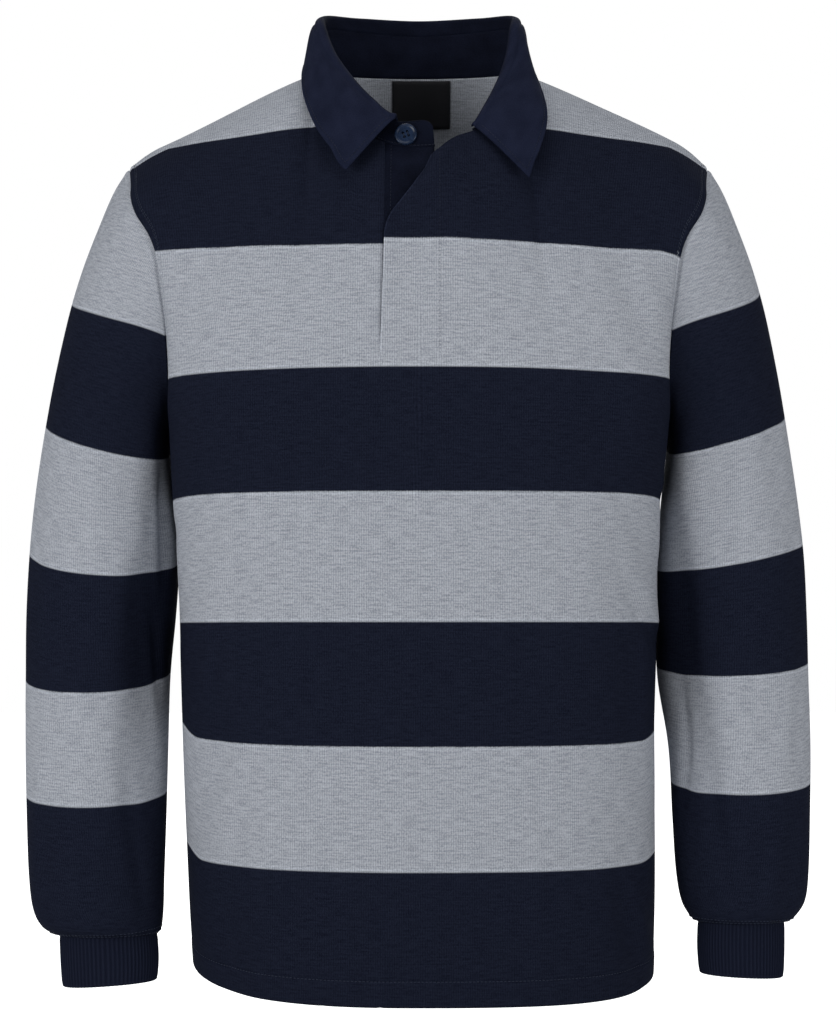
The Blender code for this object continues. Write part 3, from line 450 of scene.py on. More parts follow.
# Soft creases: places, half lengths and how far they are pushed in (-) or out (+).
Crease = namedtuple("Crease", "face x z half_x half_z lean bend depth")
BODY_CREASES = (
    Crease(FRONT, -168, -395, 9, 46, 0.42, 0.0, -2.2),
    Crease(FRONT, -176, -352, 8, 30, 0.95, 0.2, -1.6),
    Crease(FRONT, 170, -372, 9, 44, -0.50, 0.0, -2.0),
    Crease(FRONT, 178, -332, 8, 28, -1.05, -0.2, -1.5),
    Crease(FRONT, 175, -440, 7, 26, -0.55, 0.1, -4.0),
    Crease(FRONT, -166, -480, 5, 34, 0.05, 0.1, 1.5),
    Crease(FRONT, 166, -520, 8, 62, -0.06, 0.1, -1.8),
    Crease(FRONT, 176, -500, 6, 55, 0.05, 0.0, 1.4),
    Crease(FRONT, -160, -566, 9, 50, 0.30, 0.0, -1.8),
    Crease(FRONT, -149, -590, 8, 60, 0.22, 0.1, 1.2),
    Crease(FRONT, 164, -688, 7, 34, -0.28, 0.0, -2.4),
    Crease(FRONT, 173, -676, 6, 30, -0.25, 0.0, 1.6),
    Crease(FRONT, -146, -690, 15, 60, 0.05, 0.0, -2.6),
    Crease(FRONT, 146, -290, 24, 54, -0.20, 0.0, -3.2),
    Crease(FRONT, -60, -610, 24, 90, 0.10, 0.0, -1.6),
    Crease(FRONT, 52, -640, 22, 80, -0.12, 0.0, -1.3),
    Crease(FRONT, -8, -520, 20, 70, 0.02, 0.0, 1.0),
    Crease(FRONT, 82, -470, 18, 60, -0.20, 0.0, -1.0),
    Crease(FRONT, -92, -420, 18, 50, 0.30, 0.0, -1.0),
    Crease(FRONT, -172, -196, 12, 40, 0.30, 0.0, -2.0),
    Crease(FRONT, 168, -200, 12, 42, -0.34, 0.0, -2.2),
    Crease(FRONT, -118, -120, 18, 34, 0.70, 0.0, -1.2),
    Crease(FRONT, 118, -122, 18, 34, -0.70, 0.0, -1.2),
    Crease(BACK, -172, -400, 9, 50, 0.45, 0.0, -2.6),
    Crease(BACK, -182, -350, 8, 34, 1.00, 0.2, -2.0),
    Crease(BACK, 168, -386, 9, 54, -0.40, 0.0, -2.4),
    Crease(BACK, 180, -344, 8, 30, -0.95, -0.2, -2.2),
    Crease(BACK, -150, -560, 11, 80, 0.18, 0.1, -2.6),
    Crease(BACK, 152, -600, 11, 76, -0.16, 0.0, -2.4),
    Crease(BACK, -92, -650, 14, 70, 0.08, 0.0, -2.0),
    Crease(BACK, 78, -480, 16, 90, -0.08, 0.0, -2.2),
    Crease(BACK, -40, -470, 16, 80, 0.05, 0.0, 1.6),
    Crease(BACK, 34, -660, 15, 56, -0.05, 0.0, 1.6),
    Crease(BACK, -120, -150, 16, 44, 0.60, 0.0, -2.0),
    Crease(BACK, 122, -146, 16, 46, -0.62, 0.0, -2.0),
    Crease(BACK, 0, -60, 40, 12, 0.00, 0.0, -1.4),
)

# Sewn seams: the cloth sinks at a seam, swells over its allowance and sinks under the stitches.
SEAM_SINK, SEAM_WIDTH = 1.1, 1.7
ALLOWANCE_SWELL, ALLOWANCE_PLACE, ALLOWANCE_WIDTH = 0.45, 4.0, 1.8
TOPSTITCH = (6.2, 7.6)              # two lines of stitches beside an armhole
TOPSTITCH_SINK, TOPSTITCH_WIDTH = 0.3, 0.8
HEM_TURN = 19.2                     # depth of the hem, to its stitches
HEM_SWELL, HEM_SWELL_FADE = 0.35, 2.0
HEM_SINK, HEM_SINK_WIDTH = 0.6, 1.0
HEM_THICKER, HEM_THICK_FADE = 1.2, 1.5
SEAM_GAP = 0.3
SHOULDER_SEAM_FADE = 8.0            # the shoulder seam fades in over this, from the neck
CREASE_FADE = 12.0                  # and the creases over this, from the sides
RIDGE_SHARE, RIDGE_PLACE = 0.35, 1.7            # each crease has a lower ridge beside it
RIM_ROUND = 0.35                    # how far a cut edge stands out, as a share of its thickness


def along(points, axis):
    """Distance along the rows (axis 1) or up the columns (axis 0) of a grid of points."""
    steps = np.linalg.norm(np.diff(points, axis=axis), axis=2)
    start = np.zeros((1, steps.shape[1])) if axis == 0 else np.zeros((len(steps), 1))
    return np.concatenate([start, np.cumsum(steps, axis=axis)], axis=axis)


def seam_shares():
    """Places along the armhole seam, from the underarm to the shoulder."""
    even = [n / UPPER_CELLS for n in range(UPPER_CELLS)]
    return even + list(NEAR_TOP)


def panel_heights():
    length = UNDERARM_Z - HEM_Z
    count = round((length - HEM_STEPS[-1]) / CELL)
    lower = list(HEM_STEPS[:-1]) + list(np.linspace(HEM_STEPS[-1], length, count + 1))[:-1]
    return np.array([low / length for low in lower] + [1 + share for share in seam_shares()])


def group_columns(low, high, count, seam_at=None):
    """Distances across a strip of a row, for every row at once, seam_at 0 or 1 for its seam end."""
    steps = np.array(SEAM_STEPS) if seam_at is not None else np.zeros(1)
    even = np.linspace(0, 1, count + 1)[None, :]
    if seam_at == 1:
        inner = low[:, None] + (high - steps[-1] - low)[:, None] * even
        return np.concatenate([inner[:, :-1], high[:, None] - steps[::-1]], axis=1)
    inner = (low + steps[-1])[:, None] + (high - low - steps[-1])[:, None] * even
    return np.concatenate([low[:, None] + steps[:-1], inner], axis=1)


def row_reader(face, heights):
    """Dense rows of a panel: the places u, x and distance of their points."""
    u = np.sin(np.linspace(-math.pi / 2, math.pi / 2, ROW_POINTS))
    points = body_points(face, u[None, :], heights[:, None])
    return u, points[..., 0], along(points, 1)


def distance_at_x(x_rows, distance_rows, x):
    """Distance along each row at which it reaches x, one x for each row."""
    return np.array([np.interp(at, xs, ds) for at, xs, ds in zip(x, x_rows, distance_rows)])


def distance_at_u(u, distance_rows, at):
    return np.array([np.interp(at, u, ds) for ds in distance_rows])


def u_at_distance(u, distance_rows, distances):
    return np.array([np.interp(at, ds, u) for at, ds in zip(distances, distance_rows)])


def normals_of(points, outward, closed=False):
    """Unit normals of a grid, on the side that the outward vectors name."""
    if closed:
        across = np.roll(points, -1, axis=1) - np.roll(points, 1, axis=1)
    else:
        across = np.gradient(points, axis=1)
    found = unit(np.cross(across, np.gradient(points, axis=0)))
    return found if np.sum(found * outward) > 0 else -found


def crease_form(across):
    """A trough with a lower ridge beside it, at half widths from the crease's middle."""
    return np.exp(-across ** 2) - RIDGE_SHARE * np.exp(-(across - RIDGE_PLACE) ** 2)


def creased(creases, face, points):
    """How far the creases push each point out."""
    depth = np.zeros(points.shape[:2])
    for crease in creases:
        if crease.face == face:
            rise = points[..., 2] - crease.z
            across = points[..., 0] - crease.x - crease.lean * rise
            across = (across - crease.bend * rise ** 2 / crease.half_z) / crease.half_x
            depth += crease.depth * crease_form(across) * bulge(rise, 0, crease.half_z)
    return depth


def seam_form(distance, topstitched=False):
    """Height of the cloth beside a seam."""
    form = -SEAM_SINK * bulge(distance, 0, SEAM_WIDTH)
    form += ALLOWANCE_SWELL * bulge(distance, ALLOWANCE_PLACE, ALLOWANCE_WIDTH)
    if topstitched:
        form -= TOPSTITCH_SINK * bulge(distance, sum(TOPSTITCH) / len(TOPSTITCH), TOPSTITCH_WIDTH)
    return form


def hem_form(distance):
    return (HEM_SWELL * ease((HEM_TURN - distance) / HEM_SWELL_FADE)
            - HEM_SINK * bulge(distance, HEM_TURN, HEM_SINK_WIDTH))


def courses(face, u, height, points):
    """Height of the knit's course at each point: the stripes follow it, and so does the knit."""
    side = np.where(u < 0, SIDE_CLIMB[-1], SIDE_CLIMB[1])
    low = HEM_Z + (UNDERARM_Z - HEM_Z) * height
    found = low - side * ease((np.abs(u) - SIDE_CLIMB_SHARE) / SIDE_CLIMB_FADE) * ease(
        (SIDE_CLIMB_START - low) / SIDE_CLIMB_FADE_Z)
    first = int(np.searchsorted(height[:, 0], 1.0))
    upper = points[first:]
    lengths = along(upper, 0)
    x, z = upper[..., 0], upper[..., 2]
    third = z - BODY_STRIPES[2] + (x / STRIPE_BOW) ** 2
    second = z - np.interp(x, *zip(*SECOND_EDGE[face]))
    top = z - np.interp(np.abs(x), *zip(*FIRST_EDGE[face]))
    for i in range(u.shape[1]):
        stops = [0.0]
        for line in (third, second):
            stops.append(float(np.interp(0, line[:, i], lengths[:, i])))
        reached = top[-1, i] > 0
        stops.append(float(np.interp(0, top[:, i], lengths[:, i])) if reached
                     else stops[-1] + TOP_STRIPE)
        beyond = 1000.0
        values = [UNDERARM_Z, *BODY_STRIPES[2::-1]]
        found[first:, i] = np.interp(lengths[:, i], stops + [stops[-1] + beyond],
                                     values + [values[-1] + beyond])
    return found


def stripe_count(course, stripes):
    """Stripes counted down from the top, a whole number at each edge; odd ones are navy."""
    keys = np.array(stripes[::-1])
    numbers = np.arange(len(stripes), 0, -1.0)
    found = np.interp(course, keys, numbers)
    beyond = (np.clip(keys[0] - course, 0, STRIPE_MARGIN)
              - np.clip(course - keys[-1], 0, STRIPE_MARGIN))
    return found + beyond / (2 * STRIPE_MARGIN)


def wale_places(points, distance, middle, height):
    """Place across the knit, which runs straight up and down on the shoulders."""
    across = distance - middle[:, None]
    share = ease((height - 1.0) / WALE_FADE)
    return across * (1 - share) + points[..., 0] * share


def cloth_wall(name, outer, out, thickness, cloth, closed=False, kept=None, **shares):
    """A wall of cloth behind a grid of points, with rounded edges; kept masks its cells.

    out holds the outward normals, cloth the places on the flat cloth, and shares what else its
    material reads.  On a closed grid cloth has one column more, where the last cell meets the
    first."""
    rows, columns = outer.shape[:2]
    size = rows * columns
    if kept is None:
        kept = np.ones((rows - 1, columns if closed else columns - 1), bool)
    j, i = np.nonzero(kept)
    corners = [(j, i), (j, i + 1), (j + 1, i + 1), (j + 1, i)]
    loops = np.stack([a * columns + b % columns for a, b in corners], axis=1)
    places = np.stack([cloth[a, b] for a, b in corners], axis=1)
    points, out = outer.reshape(-1, 3), out.reshape(-1, 3)
    thick = np.broadcast_to(thickness, (rows, columns)).reshape(-1, 1)
    behind = points - out * thick

    ends = np.roll(loops, -1, axis=1)
    rim = ~np.isin(loops * size + ends, ends * size + loops)
    a, b = loops[rim], ends[rim]
    place_a, place_b = places[rim], np.roll(places, -1, axis=1)[rim]
    away = np.zeros_like(points)
    centres = points[loops].mean(axis=1)
    for k in range(4):
        np.add.at(away, loops[:, k], points[loops[:, k]] - centres)
    away -= out * np.sum(away * out, axis=1, keepdims=True)
    rounded = (points + behind) / 2 + unit(away) * thick * RIM_ROUND

    rim_a, rim_b = a + 2 * size, b + 2 * size
    faces = np.concatenate([loops, loops[:, ::-1] + size, np.stack([b, a, rim_a, rim_b], axis=1),
                            np.stack([rim_b, rim_a, a + size, b + size], axis=1)])
    rim_places = np.stack([place_b, place_a, place_a, place_b], axis=1)
    places = np.concatenate([places, places[:, ::-1], rim_places, rim_places])
    used = np.unique(faces)
    faces = np.searchsorted(used, faces)
    vertices = np.concatenate([points, behind, rounded])[used]
    first, *others = (vertices[faces[:, k]] for k in range(4))
    volume = sum(np.sum(np.cross(others[k] - first, others[k + 1] - first) * first)
                 for k in (0, 1))
    if volume < 0:
        faces, places = faces[:, ::-1], places[:, ::-1]
    mesh = bpy.data.meshes.new(name)
    mesh.from_pydata((vertices * MM).tolist(), [], faces.tolist())
    layer = mesh.uv_layers.new(name="cloth")
    layer.data.foreach_set("uv", (places * MM).reshape(-1).astype(np.float32))
    shares = {label: np.tile(values.reshape(-1), 3) for label, values in shares.items()}
    # The inner face, which the knit paints paler as light on its shaded inside.
    shares["reverse"] = np.repeat([0.0, 1.0, 0.0], size)
    for label, values in shares.items():
        mesh.attributes.new(label, "FLOAT", "POINT").data.foreach_set(
            "value", values[used].astype(np.float32))
    mesh.shade_smooth()
    return new_object(name, mesh)


# The slit and the upper placket, which is the front's own cloth.
SlitPoint = namedtuple("SlitPoint", "z x")
SLIT_EDGE = (                       # the edge under the placket
    SlitPoint(-238, -29.9),
    SlitPoint(-143, -26.9),
    SlitPoint(-74, -26.4),
)
OPEN_EDGE = (                       # the placket's free edge
    SlitPoint(-238, -29.4),
    SlitPoint(-143, -26.4),
    SlitPoint(-134, -23.8),
    SlitPoint(-126, -19.5),
    SlitPoint(-119, -14.5),
    SlitPoint(-104, -4.0),
    SlitPoint(-89, 5.5),
    SlitPoint(-74, 10.5),
)
PLACKET_SEAM_X = 15.0
PLACKET_SEAM_SINK, PLACKET_SEAM_WIDTH = 0.15, 0.9
PLACKET_STITCH = 1.5                # distance of its stitches from its seam
LAP = 2.2                           # how far the placket stands off the cloth under it
LAP_FADE = 34.0
LAP_RISE = 0.09
FLARE, FLARE_HEIGHT, FLARE_FADE_X = 5.0, 55.0, 42.0
ROLL_IN = 3.4
FOLD_REACH = 10.0                   # the fold share falls from this, by 1 for each mm off the edge
SIDE_CELLS, NECK_CELLS, PLACKET_CELLS = 46, 18, 14


def edge_x(table, z):
    return np.interp(z, [row.z for row in table], [row.x for row in table])


def opened(height):
    """How far the slit has opened at each height, from 0 to 1."""
    centre_z = body_points(FRONT, np.zeros_like(height), height)[..., 2]
    return ease((centre_z - OPEN_EDGE[1].z) / FLARE_HEIGHT)


def lap_out(x, height):
    """How far the front stands off the body beside the slit."""
    lap = LAP * ease((height - SLIT_HEIGHT) / LAP_RISE) * (
        1 - ease((x - PLACKET_SEAM_X) / LAP_FADE))
    beside = ease((FLARE_FADE_X - x) / (FLARE_FADE_X - OPEN_EDGE[-1].x))
    return lap + FLARE * opened(height) * beside


def lay_panel(face, u, height, distance, middle):
    """A panel's points, normals, how far each then moves out, thickness and flat places."""
    base = body_points(face, u, height)
    out = normals_of(base, np.array([0.0, face, 0.0]))
    from_side = np.minimum(distance, distance[:, -1:] - distance)
    climbed = along(base, 0)
    from_hem = height * (UNDERARM_Z - HEM_Z)
    form = creased(BODY_CREASES, face, base) * ease(from_side / CREASE_FADE)
    form += np.where(height > 1, seam_form(from_side, True), seam_form(from_side))
    form += seam_form(climbed[-1:] - climbed) * ease(
        (np.abs(base[..., 0]) - NECK_HALF) / SHOULDER_SEAM_FADE)
    form += hem_form(from_hem)
    thick = KNIT + HEM_THICKER * ease((HEM_TURN - from_hem) / HEM_THICK_FADE)
    base = base + np.array([0, face * SEAM_GAP / 2, 0])
    cloth = np.stack([wale_places(base, distance, middle, height),
                      courses(face, u, height, base)], axis=-1)
    return base, out, form, thick, cloth


heights = panel_heights()
row_u, row_x, row_length = row_reader(FRONT, heights)
centre_z = body_points(FRONT, np.zeros_like(heights), heights)[:, 2]
side_low = np.zeros(len(heights))
neck_low = distance_at_u(row_u, row_length, -NECK_SHARE)
slit_at = distance_at_x(row_x, row_length, edge_x(SLIT_EDGE, centre_z))
open_at = distance_at_x(row_x, row_length, edge_x(OPEN_EDGE, centre_z))
seam_at = distance_at_x(row_x, row_length, np.full(len(heights), PLACKET_SEAM_X))
middle_at = distance_at_x(row_x, row_length, np.zeros(len(heights)))
neck_high = distance_at_u(row_u, row_length, NECK_SHARE)
groups = [
    group_columns(side_low, neck_low, SIDE_CELLS, 0)[:, :-1],
    group_columns(neck_low, slit_at, NECK_CELLS),
    group_columns(open_at, seam_at, PLACKET_CELLS)[:, :-1],
    group_columns(seam_at, neck_high, NECK_CELLS)[:, :-1],
    group_columns(neck_high, row_length[:, -1], SIDE_CELLS, 1),
]
distances = np.concatenate(groups, axis=1)
left_columns = groups[0].shape[1] + groups[1].shape[1]
front_u = u_at_distance(row_u, row_length, distances)
front_height = np.broadcast_to(heights[:, None], front_u.shape)
front_base, front_out, form, thick, flat = lay_panel(
    FRONT, front_u, front_height, distances, middle_at)
front_x = front_base[..., 0]
right = np.broadcast_to(np.arange(front_u.shape[1]) >= left_columns, front_u.shape)
lapped = lap_out(front_x, front_height) * right
across_placket = np.clip((distances - open_at[:, None]) / (seam_at - open_at)[:, None], 0, 1)
rolled = ROLL_IN * opened(heights)[:, None] * (1 - across_placket) ** 3 * right
placket_line = -PLACKET_SEAM_SINK * bulge(front_x, PLACKET_SEAM_X, PLACKET_SEAM_WIDTH)
placket_line *= (front_height > SLIT_HEIGHT)
front_cloth = front_base + front_out * (form + lapped - rolled + placket_line)[..., None]
front_cloth = front_cloth + drawn(front_x, front_height) * right[..., None]
front_out = normals_of(front_cloth, np.array([0.0, FRONT, 0.0]))
kept = np.ones((front_u.shape[0] - 1, front_u.shape[1] - 1), bool)
slit_row = int(np.searchsorted(heights, SLIT_HEIGHT - 1e-6))
kept[slit_row:, left_columns - 1] = False
# How near each point lies to the placket's free edge; the knit paints a highlight along this lit
# fold.
fold_near = (FOLD_REACH - (distances - open_at[:, None])).clip(0, FOLD_REACH) * right
fold_near[:slit_row] = 0
front_panel = cloth_wall("front_panel", front_cloth, front_out, thick, flat, kept=kept,
                         stripe=stripe_count(flat[..., 1], BODY_STRIPES), fold=fold_near)


# The knit's own look: raised wales with a loop at each course, and streaks of darker yarn, with
# painted shade in the gaps between the wales.
WALE, COURSE = 1.8, 1.3             # mm from one wale, and from one course, to the next
WAVER = 0.7                         # mm that a wale strays
LOOP_LEAN = 0.55                    # courses that a loop leans by across its wale
RIDGE_ROUND = 0.6
LOOP_LOW, LOOP_RISE = 0.6, 0.4
SHADE_LOW, SHADE_RISE = 0.77, 0.34  # painted shade: the gaps between wales are darker than their tops
BUMP_STRENGTH = 0.5
WAVER_GRAIN = (60, 25, 1)           # grains to the metre, across the cloth and up it
STREAK_GRAIN = (75, 760, 1)
FLECK_GRAIN = (850, 560, 1)
GRAIN_ROUGHNESS = 0.6


def new_group(name, inputs, outputs):
    """An empty shader group; inputs are names with their usual values."""
    group = bpy.data.node_groups.new(name, "ShaderNodeTree")
    for label, value in inputs:
        kind = "NodeSocketVector" if value is None else "NodeSocketFloat"
        socket = group.interface.new_socket(label, in_out="INPUT", socket_type=kind)
        if value is not None:
            socket.default_value = value
    for label in outputs:
        group.interface.new_socket(label, in_out="OUTPUT", socket_type="NodeSocketFloat")
    return group, group.nodes.new("NodeGroupInput"), group.nodes.new("NodeGroupOutput")


class Wiring:
    """Adds nodes to a tree; a value may be a number or another node's output."""
    def __init__(self, tree):
        self.nodes, self.links = tree.nodes, tree.links

    def feed(self, socket, value):
        if isinstance(value, bpy.types.NodeSocket):
            self.links.new(value, socket)
        elif value is not None:
            socket.default_value = value

    def feed_named(self, node, **values):
        """Feed inputs by their names, with _ for each space."""
        for label, value in values.items():
            self.feed(node.inputs[label.replace("_", " ")], value)

    def new(self, kind, inputs, **settings):
        """A node with its settings, and with inputs fed by their names or numbers."""
        node = self.nodes.new(kind)
        for label, value in settings.items():
            setattr(node, label, value)
        for label, value in inputs.items():
            self.feed(node.inputs[label], value)
        return node

    def math(self, operation, a, b=None):
        return self.new("ShaderNodeMath", {0: a, 1: b}, operation=operation).outputs[0]

    def add(self, a, b):
        return self.math("ADD", a, b)

    def times(self, a, b):
        return self.math("MULTIPLY", a, b)

    def ridges(self, value):
        """Up from 0 to 1 and down again, once for each whole number."""
        return self.times(self.math("PINGPONG", value, 0.5), 2.0)

    def span(self, value, low, high, to_low=0.0, to_high=1.0):
        ends = {0: value, 1: low, 2: high, 3: to_low, 4: to_high}
        return self.new("ShaderNodeMapRange", ends, interpolation_type="SMOOTHSTEP").outputs[0]

    def noise(self, vector, scale, detail=2.0, roughness=0.5):
        return self.new("ShaderNodeTexNoise", {
            "Vector": vector, "Scale": scale, "Detail": detail, "Roughness": roughness}
                        ).outputs["Fac"]

    def grain(self, cloth, scale, detail=2.0, roughness=0.5):
        """Noise with its own scale each way over the cloth."""
        scaled = self.new("ShaderNodeMapping", {"Vector": cloth, "Scale": scale})
        return self.noise(scaled.outputs[0], 1.0, detail, roughness)

    def mix(self, share, a, b):
        a, b = (value if isinstance(value, bpy.types.NodeSocket) else (*value, 1)
                for value in (a, b))
        return self.new("ShaderNodeMix", {0: share, 6: a, 7: b}, data_type="RGBA").outputs[2]

    def shade(self, colour, value):
        """A colour made lighter or darker by a value."""
        return self.new("ShaderNodeVectorMath", {0: colour, "Scale": value},
                        operation="SCALE").outputs[0]

    def place(self, group, vector, **values):
        node = self.new("ShaderNodeGroup", {}, node_tree=group)
        self.feed_named(node, Cloth=vector, **values)
        return node

    def bump(self, height, distance):
        return self.new("ShaderNodeBump", {"Height": height, "Distance": distance,
                                           "Strength": BUMP_STRENGTH}).outputs[0]

    def cloth_places(self):
        return self.new("ShaderNodeUVMap", {}, uv_map="cloth").outputs[0]

    def object_places(self):
        return self.nodes.new("ShaderNodeTexCoord").outputs["Object"]

    def share(self, name):
        """What the mesh says of itself under a name."""
        return self.new("ShaderNodeAttribute", {}, attribute_name=name).outputs["Fac"]


def make_jersey_group():
    """Inputs in cloth metres and millimetres; Shade is near 1, Loops is the height of the knit."""
    group, given, result = new_group(
        "jersey_knit", (("Cloth", None), ("Wale mm", WALE), ("Course mm", COURSE)),
        ("Shade", "Streak", "Loops"))
    wire = Wiring(group)
    cloth = given.outputs["Cloth"]
    parts = wire.new("ShaderNodeSeparateXYZ", {0: cloth})
    across = wire.add(wire.times(parts.outputs[0], 1000.0),
                      wire.times(wire.grain(cloth, WAVER_GRAIN), WAVER))
    up = wire.times(parts.outputs[1], 1000.0)
    ridge = wire.ridges(wire.math("DIVIDE", across, given.outputs["Wale mm"]))
    loop = wire.ridges(wire.add(wire.math("DIVIDE", up, given.outputs["Course mm"]),
                                wire.times(ridge, LOOP_LEAN)))
    ridge = wire.math("POWER", ridge, RIDGE_ROUND)
    streak = wire.grain(cloth, STREAK_GRAIN, 3.0, GRAIN_ROUGHNESS)
    fleck = wire.grain(cloth, FLECK_GRAIN, 2.0, GRAIN_ROUGHNESS)
    wire.feed_named(
        result, Shade=wire.add(SHADE_LOW, wire.times(ridge, SHADE_RISE)),
        Streak=wire.add(wire.times(streak, 0.5), wire.times(fleck, 0.5)),
        Loops=wire.times(ridge, wire.add(LOOP_LOW, wire.times(loop, LOOP_RISE))))
    return group


jersey = make_jersey_group()


def new_material(name, roughness, specular):
    material = bpy.data.materials.new(name)
    material.use_nodes = True
    shader = material.node_tree.nodes["Principled BSDF"]
    shader.inputs["Roughness"].default_value = roughness
    shader.inputs["Specular IOR Level"].default_value = specular
    return material, Wiring(material.node_tree), shader


GREY_LIGHT = (0.470, 0.495, 0.548)
GREY_DARK = (0.243, 0.263, 0.304)
NAVY_LIGHT = (0.0126, 0.0160, 0.0310)
NAVY_DARK = (0.0052, 0.0068, 0.0155)
MELANGE = (0.31, 0.65)              # streaks below the first are dark, above the second light
EDGE_SOFT = 0.022                   # share of a stripe over which one yarn gives way to the next
EDGE_UNEVEN = 0.012
EDGE_LINE = ((0.02, 0.05), (0.11, 0.06))        # a line beside it comes and goes over these
EDGE_PALER = 0.15                   # and is paler by this
INSIDE_PAINTED_LIGHT = 0.18                # painted light: the knit's inside face is paler, to light its shaded inside in the neck opening
FOLD_HIGHLIGHT = (1.4, 0.5)              # mm off the placket's free edge over which a highlight is painted along its lit fold
FOLD_HIGHLIGHT_GREY, FOLD_HIGHLIGHT_NAVY = 0.3, 0.6
KNIT_ROUGHNESS = (0.98, 0.82)       # between the loops, and on top of them
KNIT_DEPTH = 0.00035                # in metres, as all depths of the shaders' relief


def make_striped_knit():
    material, wire, shader = new_material("striped_knit", 0.9, specular=0.04)
    knit = wire.place(jersey, wire.cloth_places())
    shade, streak, loops = (knit.outputs[label] for label in ("Shade", "Streak", "Loops"))
    uneven = wire.times(wire.math("SUBTRACT", streak, 0.5), EDGE_UNEVEN)
    wave = wire.math("SINE", wire.times(wire.add(wire.share("stripe"), uneven), math.pi))
    pale = wire.times(*(wire.span(wave, *ends) for ends in EDGE_LINE))
    # Painted highlight: the placket's folded free edge is paler, where light catches the fold.
    fold_highlight = wire.span(wire.share("fold"), *(FOLD_REACH - near for near in FOLD_HIGHLIGHT))
    # Painted light: the knit's inside face is paler, as if lit where it lies in shade.
    paler = wire.add(wire.times(pale, EDGE_PALER), wire.times(wire.share("reverse"), INSIDE_PAINTED_LIGHT))
    paler = wire.add(paler, wire.times(fold_highlight, FOLD_HIGHLIGHT_GREY))
    melange = wire.span(streak, *MELANGE)
    grey = wire.shade(wire.mix(melange, GREY_DARK, GREY_LIGHT), wire.add(shade, paler))
    navy = wire.shade(wire.mix(melange, NAVY_DARK, NAVY_LIGHT),
                      wire.add(shade, wire.times(fold_highlight, FOLD_HIGHLIGHT_NAVY)))
    wire.feed_named(shader, Base_Color=wire.mix(wire.span(wave, EDGE_SOFT, -EDGE_SOFT), grey, navy),
                    Roughness=wire.span(loops, 0.0, 1.0, *KNIT_ROUGHNESS),
                    Normal=wire.bump(loops, KNIT_DEPTH))
    return material


striped_knit = make_striped_knit()
front_panel.data.materials.append(striped_knit)
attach(front_panel, "root")
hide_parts("front", "placket_upper")


# Stitches: short round lengths of thread laid end to end along a line on the cloth.
def make_stitch_tree():
    tree = bpy.data.node_groups.new("laid_stitches", "GeometryNodeTree")
    for label, way, kind in (
            ("Geometry", "INPUT", "Geometry"), ("Pitch", "INPUT", "Float"),
            ("Length", "INPUT", "Float"), ("Thickness", "INPUT", "Float"),
            ("Thread", "INPUT", "Material"), ("Geometry", "OUTPUT", "Geometry")):
        tree.interface.new_socket(label, in_out=way, socket_type="NodeSocket" + kind)
    make = tree.nodes.new
    given, result = make("NodeGroupInput"), make("NodeGroupOutput")
    to_curve = make("GeometryNodeMeshToCurve")
    resample = make("GeometryNodeResampleCurve")
    resample.mode = "LENGTH"
    stitch = make("GeometryNodeMeshUVSphere")
    for label, value in (("Segments", 6), ("Rings", 4), ("Radius", 0.5)):
        stitch.inputs[label].default_value = value
    shape = make("ShaderNodeCombineXYZ")
    out = make("GeometryNodeInputNamedAttribute")
    out.data_type = "FLOAT_VECTOR"
    out.inputs["Name"].default_value = "out"
    stand = make("FunctionNodeAlignRotationToVector")
    stand.axis = "Z"
    tangent = make("GeometryNodeInputTangent")
    turn = make("FunctionNodeAlignRotationToVector")
    turn.axis, turn.pivot_axis = "X", "Z"
    lay = make("GeometryNodeInstanceOnPoints")
    realize = make("GeometryNodeRealizeInstances")
    dye = make("GeometryNodeSetMaterial")
    for source, output, target, socket in (
            (given, "Geometry", to_curve, "Mesh"),
            (to_curve, "Curve", resample, "Curve"),
            (given, "Pitch", resample, "Length"),
            (given, "Length", shape, "X"),
            (given, "Thickness", shape, "Y"),
            (given, "Thickness", shape, "Z"),
            (out, "Attribute", stand, "Vector"),
            (stand, "Rotation", turn, "Rotation"),
            (tangent, "Tangent", turn, "Vector"),
            (resample, "Curve", lay, "Points"),
            (stitch, "Mesh", lay, "Instance"),
            (turn, "Rotation", lay, "Rotation"),
            (shape, "Vector", lay, "Scale"),
            (lay, "Instances", realize, "Geometry"),
            (realize, "Geometry", dye, "Geometry"),
            (given, "Thread", dye, "Material"),
            (dye, "Geometry", result, "Geometry")):
        tree.links.new(source.outputs[output], target.inputs[socket])
    return tree


stitch_tree = make_stitch_tree()
NAVY_THREAD = (0.014, 0.019, 0.036)
COLLAR_THREAD = (0.0075, 0.0100, 0.0200)
GREY_THREAD = (0.200, 0.215, 0.245)
TWIST_SCALE, TWIST_AND_GLINT_LIGHTER = 2600.0, 1.9
THREAD_LIFT = 0.1                   # how far most stitches stand off the cloth


def make_thread(name, colour, shine=0.45):
    material, wire, shader = new_material(name, shine, specular=0.25)
    twist = wire.noise(wire.object_places(), TWIST_SCALE)
    # Lighter flecks along the twist: partly the thread's own uneven tone and partly painted glints.
    lighter = tuple(min(part * TWIST_AND_GLINT_LIGHTER + 0.004, 1) for part in colour)
    wire.feed_named(shader, Base_Color=wire.mix(twist, colour, lighter),
                    Roughness=wire.span(twist, 0.2, 0.8, shine - 0.1, shine + 0.2))
    return material


navy_thread = make_thread("navy_thread", NAVY_THREAD)
collar_thread = make_thread("collar_thread", COLLAR_THREAD, 0.6)
grey_thread = make_thread("grey_thread", GREY_THREAD, 0.8)


def apply_modifiers(piece):
    """Swap an object's mesh for what its modifiers make of it."""
    made = bpy.data.meshes.new_from_object(
        piece.evaluated_get(bpy.context.evaluated_depsgraph_get()))
    piece.modifiers.clear()
    piece.data = made
    return made


